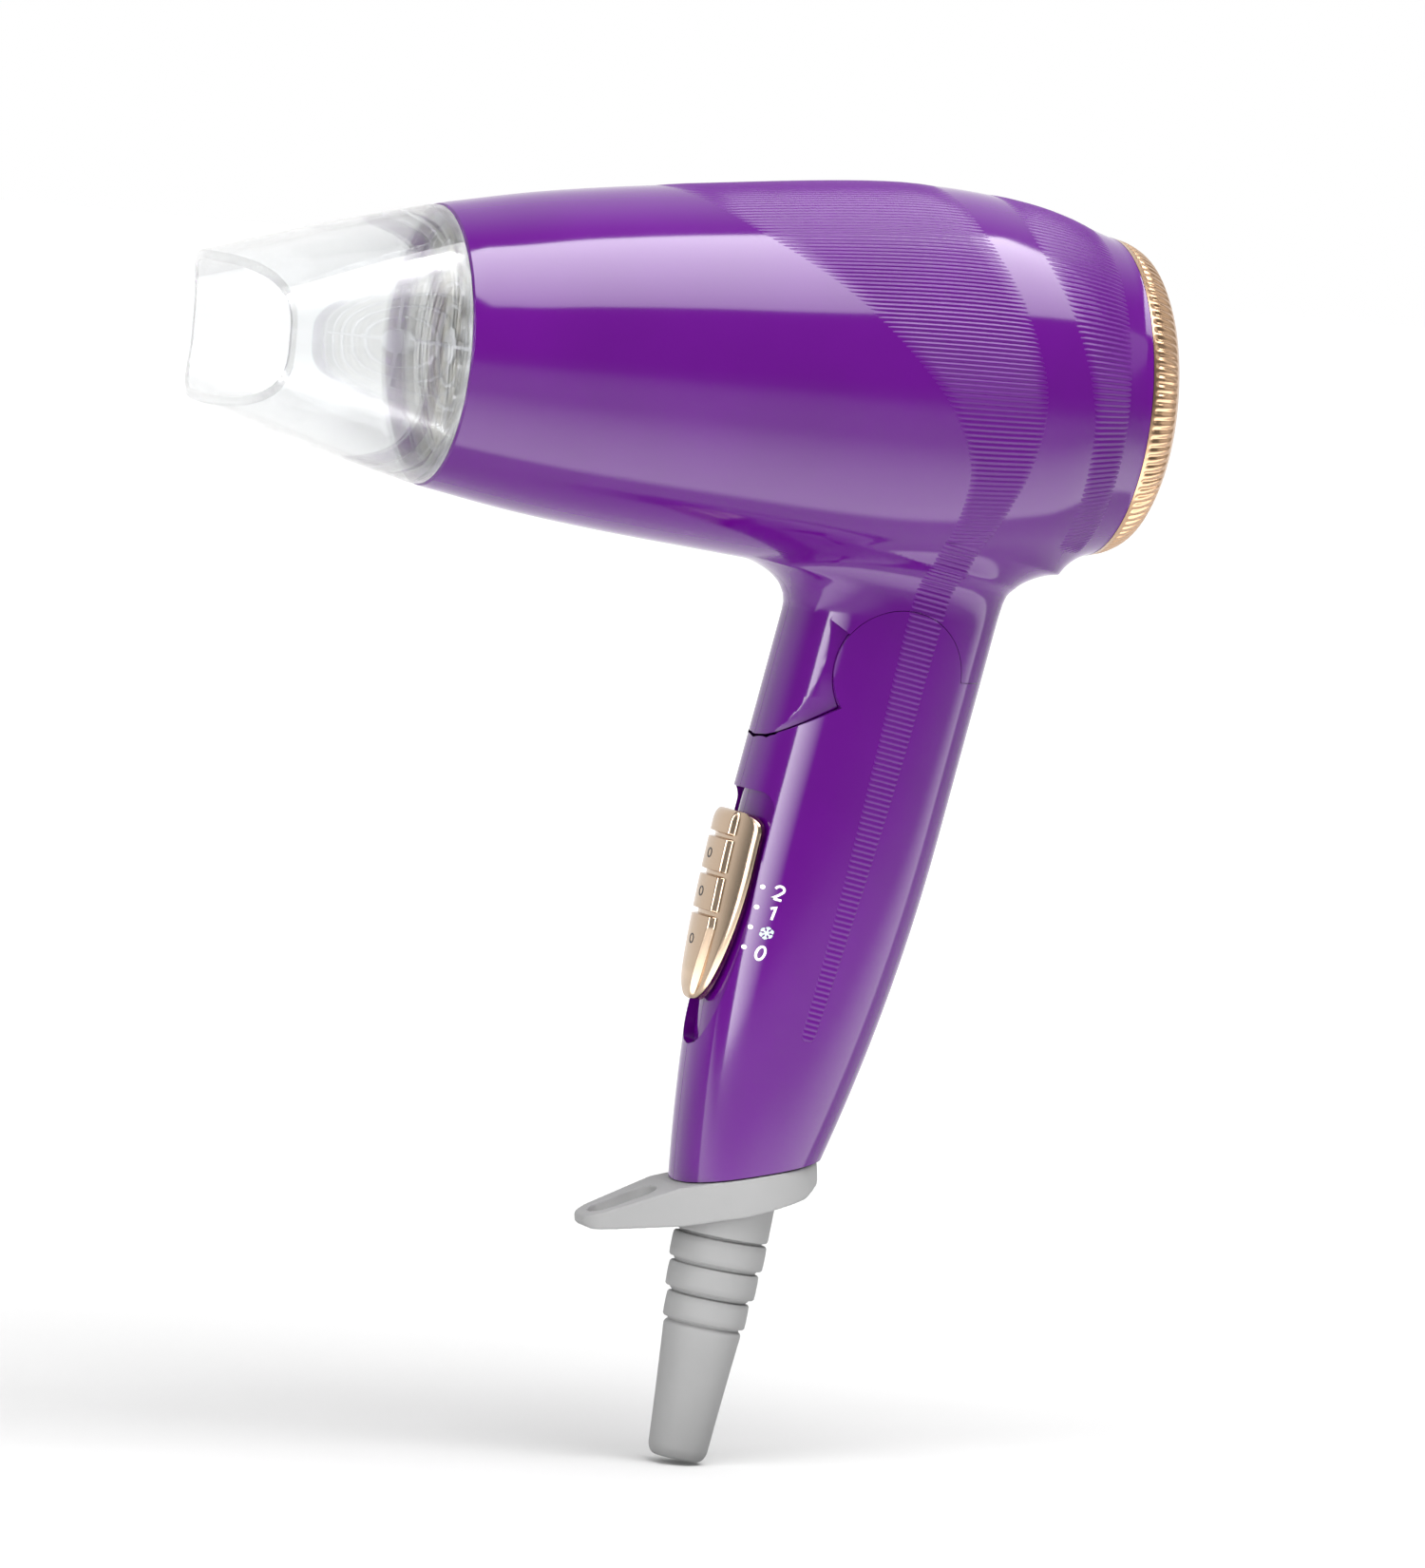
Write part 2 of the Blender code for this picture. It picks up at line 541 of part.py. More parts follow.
def make_barrel_shells(tools):
    outer = barrel_profile()
    cavity = [(radius - WALL, x) for radius, x in outer]
    cavity = [(0, -1), (cavity[0][0], -1), *cavity, (cavity[-1][0], 135), (0, 135)]
    cavity = turned("cut_barrel_cavity", cavity[::-1], parent=AXIS)
    neck_cavity = piece("cut_neck_cavity", loft(neck_rings(WALL)), parent=NECK)
    for side in (-1, 1):
        bm = bmesh.new()
        add_rod(bm, LOBE_RADIUS + 2.2, 10, (0, side * (PLATE_INNER + 5.25), PIVOT_Q), "Y", 32)
        boolean(neck_cavity, piece(f"cut_neck_ring_{side}", bm, parent=NECK))
    post = bmesh.new()
    add_rod(post, POST_RADIUS, 40, (NECK_SCREW[0], 0, NECK_SCREW[1]), "Y", 24)
    boolean(neck_cavity, piece("cut_neck_post", post, parent=NECK))

    for name, side in (("left", -1), ("right", 1)):
        profile = [(0, 133.8), *outer[::-1], (0, 0)]
        shell = turned(f"barrel_shell_{name}", profile, "purple", AXIS)
        neck = piece(f"join_neck_{name}", loft(neck_rings(0)), parent=NECK)
        boolean(shell, neck, "UNION")
        boolean(shell, cavity)
        boolean(shell, neck_cavity)
        boolean(shell, tools["clear"])
        boolean(shell, tools["pinch"])
        plate = bmesh.new()
        thickness = PLATE_OUTER - PLATE_INNER
        add_rod(plate, PLATE_RADIUS, thickness, (0, side * (PLATE_INNER + thickness / 2), PIVOT_Q), "Y", 32)
        boolean(shell, piece(f"join_plate_{name}", plate, parent=NECK), "UNION")
        hole = bmesh.new()
        add_rod(hole, PIN_RADIUS + 0.3, 6, (0, side * PLATE_INNER, PIVOT_Q), "Y", 24)
        boolean(shell, piece(f"cut_plate_bore_{name}", hole, parent=NECK))
        screw_holes(shell, side, "neck_screw", NECK, *NECK_SCREW)
        half = bmesh.new()
        add_box(half, (400, 60, 400), (0, -side * (30 - SPLIT_GAP), 0))
        boolean(shell, piece(f"cut_barrel_{name}", half, parent=NECK))


def grille(name, finish, parent, radius, z, rings, spokes, deep=2.0, wide=1.3):
    """A round guard: a rim, a hub and concentric rings joined by spokes."""
    rim = [(radius, z + 1.4), (radius, z - 1.4), (radius - 1.6, z - 1.4), (radius - 1.6, z + 1.4)]
    guard = turned(name, rim, finish, parent, steps=28)
    for i, middle in enumerate(rings):
        ring = [
            (middle + wide / 2, z + deep * 0.4),
            (middle + wide / 2, z - deep * 0.4),
            (middle - wide / 2, z - deep * 0.4),
            (middle - wide / 2, z + deep * 0.4),
        ]
        boolean(guard, turned(f"join_{name}_ring_{i}", ring, parent=parent, steps=20), "UNION")
    bars = bmesh.new()
    for i in range(spokes):
        turn = Matrix.Rotation(2 * math.pi * i / spokes, 4, "Z")
        add_box(bars, (radius - 3.2, wide * 0.85, deep * 0.85), ((radius + 1.8) / 2, 0, z), turn)
    boolean(guard, piece(f"join_{name}_bars", bars, parent=parent), "UNION")
    hub = bmesh.new()
    add_rod(hub, 3.4, deep, (0, 0, z), "Z", 20)
    boolean(guard, piece(f"join_{name}_hub", hub, parent=parent), "UNION")


def make_heater():
    grille("outlet_guard", "steel", AXIS, 24.2, 4.3, (7.6, 11.8, 16.0, 20.2), 4, 0.9, 0.8)
    turned("mica_liner", [(24.0, 68), (24.0, 7), (23.2, 7), (23.2, 68)], "mica", AXIS, steps=36)
    half, low, high = 17.5, 10.0, 66.0
    boards = (("mica_board_upright", (1.0, 2 * half), 52.0), ("mica_board_level", (2 * half, 1.0), 24.0))
    for name, flat, slot_z in boards:
        board = box_piece(name, (*flat, high - low), (0, 0, (low + high) / 2), "mica", AXIS)
        slot = bmesh.new()
        add_box(slot, (1.6 if flat[0] > 2 else 3, 1.6 if flat[1] > 2 else 3, 28.6), (0, 0, slot_z))
        boolean(board, piece(f"cut_{name}", slot, parent=AXIS))
    turns, pitch, radius, count = 7, 6.8, 18.8, 12
    helix = []
    for i in range(turns * count + 1):
        turn = 2 * math.pi * i / count
        helix.append((radius * math.cos(turn), radius * math.sin(turn), 14 + pitch * i / count))
    wire("heating_coil", helix, 0.45, "nichrome", AXIS)
    rod_piece("thermostat", 5.0, 3.4, (8.6, 2.6, 56), "Y", "steel", AXIS, 20)
    rod_piece("thermal_fuse", 1.7, 11, (-9, -2.8, 40), "Z", "white_plastic", AXIS, 12)


def make_motor():
    can = [(0, 110), (12, 110), (12, 82), (10.6, 82), (10.6, 108.6), (0, 108.6)]
    can = turned("motor_can", can, "steel", AXIS, steps=24)
    end_cap = [(0, 81.7), (12, 81.7), (12, 78.3), (0, 78.3)]
    end_cap = turned("motor_end_cap", end_cap, "black_plastic", AXIS, steps=24)
    for obj, z in ((can, 109), (end_cap, 80)):
        bore = bmesh.new()
        add_rod(bore, 1.35, 8, (0, 0, z), "Z", 16)
        boolean(obj, piece(f"cut_{obj.name}_bore", bore, parent=AXIS))
    for i, start in enumerate((20, 200)):
        outline = [*arc((0, 0), 10.2, start, start + 140, 10), *arc((0, 0), 8.2, start + 140, start, 10)]
        piece(f"motor_magnet_{i + 1}", prism(outline, 9, "XY", 95), "ferrite", AXIS)
    for i, x in enumerate((-7, 7)):
        box_piece(f"motor_terminal_{i + 1}", (3, 0.8, 3.0), (x, 0, 76.4), "brass", AXIS)

    duct_wall = [(34.2, 106), (34.2, 84), (32.8, 84), (32.8, 106)]
    duct = turned("motor_mount", duct_wall, "black_plastic", AXIS, steps=36)
    sleeve_wall = [(13.9, 106), (13.9, 84), (12.4, 84), (12.4, 106)]
    sleeve = turned("join_motor_sleeve", sleeve_wall, parent=AXIS, steps=32)
    boolean(duct, sleeve, "UNION")
    vanes = bmesh.new()
    for i in range(5):
        turn = Matrix.Rotation(2 * math.pi * i / 5 + 0.3, 4, "Z")
        add_box(vanes, (20.2, 1.4, 18), (23.3, 0, 95), turn)
    boolean(duct, piece("join_motor_vanes", vanes, parent=AXIS), "UNION")

    rod_piece("rectifier_board", 11.0, 1.4, (0, 0, 73.2), "Z", "circuit_board", AXIS, 32)
    for i in range(4):
        turn = math.pi / 4 + math.pi / 2 * i
        centre = (6.5 * math.cos(turn), 6.5 * math.sin(turn), 70.6)
        rod_piece(f"rectifier_diode_{i + 1}", 1.3, 4.4, centre, "X", "black_plastic", AXIS, 12)


def make_rotor():
    turned("motor_shaft", [(0, 122.5), (1.0, 122.5), (1.0, 76.9), (0, 76.9)], "steel", ROTOR, steps=12)
    turned("motor_armature", [(7.2, 103), (7.2, 87), (1.15, 87), (1.15, 103)], "copper", ROTOR, steps=24)
    hub = [(1.3, 123), (7.5, 123), (9.5, 120), (9.5, 112), (1.3, 112)]
    hub = turned("fan_impeller", hub, "black_plastic", ROTOR)
    blades = bmesh.new()
    count = 7
    for i in range(count):
        turn = Matrix.Rotation(2 * math.pi * i / count, 4, "Z")
        pitch = Matrix.Rotation(math.radians(38), 4, "X")
        middle = Matrix.Translation(Vector((19.5, 0, 117)) * MM)
        scale = Matrix.Diagonal((22 * MM, 13 * MM, 1.2 * MM, 1))
        bmesh.ops.create_cube(blades, size=1, matrix=turn @ middle @ pitch @ scale)
    boolean(hub, piece("join_blades", blades, parent=ROTOR), "UNION")


def make_inlet_cap():
    profile = [(24.8, CAP_REAR), (26.2, CAP_REAR), (28.2, 139.4), (29.8, 136.9), (30.5, CAP_FRONT)]
    profile += [(28.0, CAP_FRONT), (28.0, 128.5), (26.4, 128.5), (26.4, 135.0), (24.8, 136.4)]
    turned("inlet_cap_ring", profile, "gold", CAP, steps=36)
    grille("inlet_grille", "black_plastic", CAP, 24.4, 138.2, (9.0, 16.5), 6)


def nozzle_rings(inset):
    rings = []
    for t in (0.0, 0.25, 0.5, 0.75, 1.0):
        wide = 26.4 + (NOZZLE_WIDE - 26.4) * t * t * (3 - 2 * t) - inset
        high = 26.4 + (NOZZLE_HIGH - 26.4) * (0.85 * t + 0.15 * t * t) - inset
        power = 2 + 1.2 * t
        ring = []
        for i in range(SEGMENTS):
            turn = 2 * math.pi * i / SEGMENTS
            c, s = math.cos(turn), math.sin(turn)
            y = math.copysign(wide * abs(c) ** (2 / power), c)
            z = math.copysign(high * abs(s) ** (2 / power), s)
            ring.append((-0.3 - t * (NOZZLE_LENGTH - 7 * (y / NOZZLE_WIDE) ** 2), y, z))
        rings.append(ring)
    return rings


def make_nozzle():
    collar = [(24.0, 2.2), (24.0, -1.2), (22.8, -1.2), (22.8, 2.2)]
    turned("nozzle_collar", collar, "clear_plastic", COLLAR_RING, rotation=(0, 90, 0))
    outer, inner = nozzle_rings(0), nozzle_rings(NOZZLE_WALL)
    bm = loft([*outer, *inner[::-1]])
    loose = [face for face in bm.faces if len(face.verts) > 4]
    bmesh.ops.delete(bm, geom=loose, context="FACES_ONLY")
    bm.verts.ensure_lookup_table()
    first, last = bm.verts[:SEGMENTS], bm.verts[-SEGMENTS:]
    for i in range(SEGMENTS):
        after = (i + 1) % SEGMENTS
        bm.faces.new((first[i], first[after], last[after], last[i]))
    piece("concentrator_nozzle", bm, "clear_plastic", NOZZLE)


clear_scene()
PARTS = new_collection("travel_hair_dryer")
CUTTERS = new_collection("cutters")
MATERIALS = {
    "purple": material("purple", (0.105, 0.012, 0.20), 0.12),
    "gold": material("gold", (0.72, 0.55, 0.36), 0.28, 1.0),
    "grey_rubber": material("grey_rubber", (0.37, 0.37, 0.37), 0.6),
    "clear_plastic": material("clear_plastic", (0.95, 0.96, 0.97), 0.05, 0.0, 0.3),
    "black_plastic": material("black_plastic", (0.02, 0.02, 0.02), 0.45),
    "white_plastic": material("white_plastic", (0.8, 0.8, 0.78), 0.4),
    "mica": material("mica", (0.78, 0.76, 0.7), 0.35),
    "nichrome": material("nichrome", (0.55, 0.53, 0.5), 0.3, 1.0),
    "steel": material("steel", (0.6, 0.6, 0.6), 0.3, 1.0),
    "brass": material("brass", (0.75, 0.58, 0.3), 0.3, 1.0),
    "copper": material("copper", (0.72, 0.35, 0.2), 0.35, 1.0),
    "ferrite": material("ferrite", (0.06, 0.06, 0.065), 0.6),
    "circuit_board": material("circuit_board", (0.32, 0.2, 0.08), 0.5),
    "black_rubber": material("black_rubber", (0.02, 0.02, 0.02), 0.5),
    "white_rubber": material("white_rubber", (0.8, 0.8, 0.8), 0.5),
    "red_rubber": material("red_rubber", (0.5, 0.02, 0.02), 0.5),
}

# Frames: the grip, and one for each moving body with its origin on its joint
TILT = math.radians(HANDLE_TILT)
PIVOT = (PIVOT_Q * math.sin(TILT), 0, PIVOT_Q * math.cos(TILT))
HANDLE = empty("handle_frame", (0, 0, 0), (0, HANDLE_TILT, 0))
SLIDER_MOUNT = empty("slider_mount", (SLIDER_P, 0, SLIDER_Q), (0, SLIDER_TILT, 0), HANDLE)
SLIDER = empty("slider_frame", (0, 0, 0), parent=SLIDER_MOUNT)
COLLAR = empty("hang_loop_frame", (-7.3, 0, -39.35), (0, -12.1, 0))
BOOT = empty("strain_relief_frame", (BOOT_X, 0, BOOT_Z), (0, BOOT_TILT, 0))
FOLD = empty("fold_axis", PIVOT)
NECK = empty("neck_frame", (-PIVOT[0], 0, -PIVOT[2]), (0, HANDLE_TILT, 0), FOLD)
MOUTH = (MOUTH_X - PIVOT[0], 0, BARREL_Z - PIVOT[2])
AXIS = empty("barrel_axis", MOUTH, (0, 90, 0), FOLD)
ROTOR = empty("rotor_axis", MOUTH, (0, 90, 0), FOLD)
CAP = empty("inlet_cap_axis", MOUTH, (0, 90, 0), FOLD)
COLLAR_RING = empty("nozzle_slide", MOUTH, (0, 0, 0), FOLD)
NOZZLE = empty("nozzle_axis", (0, 0, 0), parent=COLLAR_RING)

shared_cutters = make_handle_solids()
make_handle(shared_cutters)
make_switch()
make_cord_entry()
make_leads()
make_barrel_shells(shared_cutters)
make_grip_fasteners()
make_heater()
make_motor()
make_rotor()
make_inlet_cap()
make_nozzle()
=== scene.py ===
"""Travel hair dryer: the visual model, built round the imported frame.

Sizes are in millimetres and are scaled by MM as each mesh is made. World axes are the frame's.
"""

import json
import math

import bmesh
import bpy
import numpy as np
from mathutils import Matrix, Vector


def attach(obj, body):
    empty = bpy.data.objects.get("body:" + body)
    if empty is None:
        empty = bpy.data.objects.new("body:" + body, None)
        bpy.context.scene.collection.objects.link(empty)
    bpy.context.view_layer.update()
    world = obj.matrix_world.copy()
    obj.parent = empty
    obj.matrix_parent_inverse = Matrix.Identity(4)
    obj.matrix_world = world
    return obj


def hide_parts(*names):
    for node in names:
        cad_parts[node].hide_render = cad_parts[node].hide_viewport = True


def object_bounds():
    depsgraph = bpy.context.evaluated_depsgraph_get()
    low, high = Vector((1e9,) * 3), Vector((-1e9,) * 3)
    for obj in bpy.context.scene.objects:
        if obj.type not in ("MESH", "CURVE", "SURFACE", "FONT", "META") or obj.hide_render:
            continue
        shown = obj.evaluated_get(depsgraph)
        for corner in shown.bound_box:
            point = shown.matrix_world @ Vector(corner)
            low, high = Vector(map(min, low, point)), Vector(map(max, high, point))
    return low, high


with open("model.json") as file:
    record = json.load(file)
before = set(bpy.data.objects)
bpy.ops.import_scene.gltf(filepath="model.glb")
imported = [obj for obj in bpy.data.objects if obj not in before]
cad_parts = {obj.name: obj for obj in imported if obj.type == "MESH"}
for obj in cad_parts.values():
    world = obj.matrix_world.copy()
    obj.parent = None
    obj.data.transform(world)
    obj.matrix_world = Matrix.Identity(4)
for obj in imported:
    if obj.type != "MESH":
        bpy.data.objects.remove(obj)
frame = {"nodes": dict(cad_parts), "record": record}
CAD_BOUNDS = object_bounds()
MM = 0.001

# The dryer's driving sizes
MOUTH_X, BARREL_Z = -84.0, 112.0
BARREL_STATIONS = ((0, 26.5), (22, 30.5), (50, 33.9), (90, 37.4), (116, 35.6), (133.8, 30.5))
WALL = 1.8
HALF_GAP = 0.06
HANDLE_TILT = 10.7
GRIP_HALF_DEPTH, GRIP_HALF_WIDTH, GRIP_TAPER_FROM = 20.2, 15.0, 30.0
DEPTH_TAPER, WIDTH_TAPER, GRIP_POWER = 0.0014, 0.0006, 2.4
FRONT_WALL = 3.6
PIVOT_Q, LOBE_RADIUS = 57.5, 12.8
SEAM_LINE = 0.12  # how wide the fold seam shows at the surface
FRONT_SEAM, BACK_SEAM, FOLD_RANGE = 220.6, 9.8, 66.0
TONGUE_RADIUS = GRIP_HALF_DEPTH / math.cos(math.radians(FRONT_SEAM - 180))
TONGUE_PINCH = 1.9
CHEEK_INNER, PLATE_INNER, PLATE_OUTER, PLATE_RADIUS, PIN_RADIUS = 10.8, 8.9, 10.5, 14.5, 3.0
SLIDER_P, SLIDER_Q, SLIDER_TILT = -19.6, 9.0, -4.5
SLIDER_TOP, SLIDER_SHOULDER, SLIDER_TIP, SLIDER_HALF_WIDTH = 16.4, 7.4, -20.3, 9.6
SLIDE_UP, SLIDE_DOWN = 4.0, 8.0
BLEND = 5.0  # how far the neck's blend into the barrel reaches


def turn_y(degrees):
    return Matrix.Rotation(math.radians(degrees), 4, "Y")


HANDLE = turn_y(HANDLE_TILT)
SLIDER_MOUNT = HANDLE @ Matrix.Translation((SLIDER_P, 0, SLIDER_Q)) @ turn_y(SLIDER_TILT)
COLLAR = Matrix.Translation((-7.3, 0, -39.35)) @ turn_y(-12.1)
BOOT = Matrix.Translation((-9.65, 0, -51.0)) @ turn_y(6.7)
AXIS = Matrix.Translation((MOUTH_X, 0, BARREL_Z)) @ turn_y(90)
MOUTH = Matrix.Translation((MOUTH_X, 0, BARREL_Z))
FOLD_AXIS = HANDLE @ Matrix.Translation((0, 0, PIVOT_Q)) @ Matrix.Rotation(math.radians(-90), 4, "X")

# ---------------------------------------------------------------- mesh tools


def smooth_through(stations, count):
    """Points on a Catmull-Rom curve through the stations, count to each stretch."""
    ends = [Vector(station) for station in stations]
    ends = [2 * ends[0] - ends[1], *ends, 2 * ends[-1] - ends[-2]]
    points = []
    for i in range(1, len(ends) - 2):
        before, start, end, after = ends[i - 1 : i + 3]
        for step in range(count):
            t = step / count
            points.append(
                0.5
                * (
                    2 * start
                    + (end - before) * t
                    + (2 * before - 5 * start + 4 * end - after) * t**2
                    + (3 * start - before - 3 * end + after) * t**3
                )
            )
    return [*points, ends[-2]]


def arc(centre, radius, start, end, count):
    angles = [math.radians(start + (end - start) * i / count) for i in range(count + 1)]
    return [(centre[0] + radius * math.cos(a), centre[1] + radius * math.sin(a)) for a in angles]


def loft(rings, caps=True, closed_path=False):
    """A body through rings of (x, y, z) points."""
    bm = bmesh.new()
    rows = [[bm.verts.new(point) for point in ring] for ring in rings]
    pairs = list(zip(rows, rows[1:]))
    if closed_path:
        pairs.append((rows[-1], rows[0]))
    for low, high in pairs:
        for i in range(len(low)):
            after = (i + 1) % len(low)
            bm.faces.new((low[i], low[after], high[after], high[i]))
    if caps and not closed_path:
        bm.faces.new(rows[0])
        bm.faces.new(rows[-1])
    return bm


def revolve(profile, count, wave=None):
    """A closed (radius, z) outline turned about local Z; radius 0 is a pole. wave(angle, radius, z) adds relief."""
    bm = bmesh.new()
    rings = []
    for radius, z in profile:
        if radius == 0:
            rings.append([bm.verts.new((0, 0, z))])
            continue
        ring = []
        for i in range(count):
            turn = 2 * math.pi * i / count
            r = radius + (wave(turn, radius, z) if wave else 0)
            ring.append(bm.verts.new((r * math.cos(turn), r * math.sin(turn), z)))
        rings.append(ring)
    pairs = list(zip(rings, rings[1:]))
    if profile[0][0] > 0:
        pairs.append((rings[-1], rings[0]))
    for a, b in pairs:
        for i in range(count):
            j = (i + 1) % count
            if len(a) == 1:
                bm.faces.new((a[0], b[j], b[i]))
            elif len(b) == 1:
                bm.faces.new((a[i], a[j], b[0]))
            else:
                bm.faces.new((a[i], a[j], b[j], b[i]))
    return bm


def prism(outline, half_width, plane="XZ", centre=0.0):
    """An outline extruded to this half-width either side of its plane."""
    to_3d = {
        "XZ": lambda u, v, w: (u, w, v),
        "YZ": lambda u, v, w: (w, u, v),
        "XY": lambda u, v, w: (u, v, w),
    }[plane]
    rings = [[to_3d(u, v, centre + w) for u, v in outline] for w in (-half_width, half_width)]
    return loft(rings)


def rod(radius, length, centre, axis="Z", segments=64):
    toward = {
        "X": Matrix.Rotation(math.pi / 2, 4, "Y"),
        "Y": Matrix.Rotation(-math.pi / 2, 4, "X"),
        "Z": Matrix(),
    }
    bm = bmesh.new()
    place = Matrix.Translation(centre) @ toward[axis]
    size = {"radius1": radius, "radius2": radius, "depth": length}
    bmesh.ops.create_cone(bm, cap_ends=True, segments=segments, matrix=place, **size)
    return bm


def block(size, centre):
    bm = bmesh.new()
    bmesh.ops.create_cube(bm, size=1, matrix=Matrix.Translation(centre) @ Matrix.Diagonal((*size, 1)))
    return bm


def solid(name, bm, place=Matrix()):
    """An object in world millimetres, scaled to metres."""
    bmesh.ops.recalc_face_normals(bm, faces=bm.faces)
    bm.transform(Matrix.Scale(MM, 4) @ place)
    mesh = bpy.data.meshes.new(name)
    bm.to_mesh(mesh)
    bm.free()
    obj = bpy.data.objects.new(name, mesh)
    bpy.context.scene.collection.objects.link(obj)
    return obj


def settle(obj):
    """Applies every modifier of the object."""
    bpy.context.view_layer.update()
    graph = bpy.context.evaluated_depsgraph_get()
    mesh = bpy.data.meshes.new_from_object(obj.evaluated_get(graph))
    obj.modifiers.clear()
    obj.data = mesh
    return obj


def combine(obj, steps):
    """Runs (operation, cutter) steps on the object. The cutters stay, for other pieces to use."""
    for i, (operation, cutter) in enumerate(steps):
        modifier = obj.modifiers.new(f"step_{i}", "BOOLEAN")
        modifier.object = cutter
        modifier.operation = operation
        modifier.solver = "MANIFOLD"
    return settle(obj)


def discard(*objects):
    for obj in objects:
        bpy.data.objects.remove(obj, do_unlink=True)


def finished(obj, finish, body, replaced=(), angle=32):
    """Gives a piece its material, its shading and its body, and hides the CAD parts that it replaces."""
    obj.data.materials.clear()
    obj.data.materials.append(FINISHES[finish])
    obj.data.shade_smooth()
    obj.data.set_sharp_from_angle(angle=math.radians(angle))
    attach(obj, body)
    if replaced:
        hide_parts(*replaced)
    return obj


# ---------------------------------------------------------------- materials


def new_finish(name, color, roughness, metallic=0.0, coat=0.0, bump=0.0, grain=400.0, spread=0.06, **extra):
    """A moulded or metal finish. Its colour and gloss vary a little, and a fine grain stands up as bump."""
    made = bpy.data.materials.new(name)
    made.use_nodes = True
    nodes, links = made.node_tree.nodes, made.node_tree.links
    shader = nodes["Principled BSDF"]
    shader.inputs["Metallic"].default_value = metallic
    shader.inputs["Coat Weight"].default_value = coat
    shader.inputs["Coat Roughness"].default_value = 0.04
    for socket, value in extra.items():
        shader.inputs[socket.replace("_", " ")].default_value = value
    where = nodes.new("ShaderNodeTexCoord")
    cloud = nodes.new("ShaderNodeTexNoise")
    cloud.inputs["Scale"].default_value = 38.0
    cloud.inputs["Detail"].default_value = 4.0
    links.new(where.outputs["Object"], cloud.inputs["Vector"])
    tint = nodes.new("ShaderNodeValToRGB")
    tint.color_ramp.elements[0].position, tint.color_ramp.elements[1].position = 0.3, 0.7
    tint.color_ramp.elements[0].color = (*[c * (1 - spread) for c in color], 1)
    tint.color_ramp.elements[1].color = (*[min(c * (1 + spread), 1.0) for c in color], 1)
    links.new(cloud.outputs["Fac"], tint.inputs["Fac"])
    links.new(tint.outputs["Color"], shader.inputs["Base Color"])
    fine = nodes.new("ShaderNodeTexNoise")
    fine.inputs["Scale"].default_value = grain
    fine.inputs["Detail"].default_value = 3.0
    links.new(where.outputs["Object"], fine.inputs["Vector"])
    gloss = nodes.new("ShaderNodeMapRange")
    gloss.inputs["To Min"].default_value = roughness * 0.85
    gloss.inputs["To Max"].default_value = roughness * 1.15
    links.new(cloud.outputs["Fac"], gloss.inputs["Value"])
    links.new(gloss.outputs["Result"], shader.inputs["Roughness"])
    if bump:
        height = nodes.new("ShaderNodeBump")
        height.inputs["Strength"].default_value = 0.35
        height.inputs["Distance"].default_value = bump * MM
        links.new(fine.outputs["Fac"], height.inputs["Height"])
        links.new(height.outputs["Normal"], shader.inputs["Normal"])
    return made


def new_clear(name):
    made = new_finish(name, (0.93, 0.95, 0.96), 0.05, bump=0.004, grain=900, spread=0.02)
    shader = made.node_tree.nodes["Principled BSDF"]
    shader.inputs["Transmission Weight"].default_value = 1.0
    shader.inputs["IOR"].default_value = 1.46
    shader.inputs["Alpha"].default_value = 0.55
    return made


FINISHES = {
    "purple_gloss": new_finish("purple_gloss", (0.07, 0.001, 0.13), 0.1, bump=0.004, grain=260),
    "purple_ribbed": new_finish(
        "purple_ribbed", (0.07, 0.002, 0.13), 0.3, bump=0.006, grain=1500, Specular_IOR_Level=0.3
    ),
    "gold_satin": new_finish("gold_satin", (0.58, 0.44, 0.32), 0.2, 1.0, bump=0.004, grain=1200, Anisotropic=0.4),
    "copper_satin": new_finish("copper_satin", (0.56, 0.36, 0.22), 0.2, 1.0, bump=0.004, grain=1200, Anisotropic=0.5),
    "grey_rubber": new_finish("grey_rubber", (0.215, 0.215, 0.215), 0.62, bump=0.03, grain=1400),
    "clear_plastic": new_clear("clear_plastic"),
    "black_plastic": new_finish("black_plastic", (0.012, 0.012, 0.013), 0.42, bump=0.02, grain=1400),
    "white_plastic": new_finish("white_plastic", (0.8, 0.8, 0.77), 0.4, bump=0.01, grain=1200),
    "mica": new_finish("mica", (0.74, 0.72, 0.66), 0.32, bump=0.03, grain=320, spread=0.12),
    "nichrome": new_finish("nichrome", (0.52, 0.49, 0.45), 0.28, 1.0, spread=0.15),
    "steel": new_finish("steel", (0.6, 0.6, 0.61), 0.3, 1.0, bump=0.004, grain=1600),
    "brass": new_finish("brass", (0.72, 0.55, 0.27), 0.3, 1.0, bump=0.004, grain=1600),
    "copper": new_finish("copper", (0.7, 0.32, 0.17), 0.35, 1.0, bump=0.02, grain=1800),
    "ferrite": new_finish("ferrite", (0.05, 0.05, 0.055), 0.6, bump=0.02, grain=1800),
    "circuit_board": new_finish("circuit_board", (0.3, 0.19, 0.07), 0.45, bump=0.01, grain=900),
    "lead_black": new_finish("lead_black", (0.014, 0.014, 0.014), 0.5, bump=0.01, grain=1500),
    "lead_white": new_finish("lead_white", (0.78, 0.78, 0.76), 0.5, bump=0.01, grain=1500),
    "lead_red": new_finish("lead_red", (0.42, 0.012, 0.012), 0.5, bump=0.01, grain=1500),
    "print_white": new_finish("print_white", (0.86, 0.86, 0.84), 0.45, bump=0.004, grain=2000),
    "print_green": new_finish("print_green", (0.42, 0.55, 0.5), 0.45, bump=0.004, grain=2000),
}

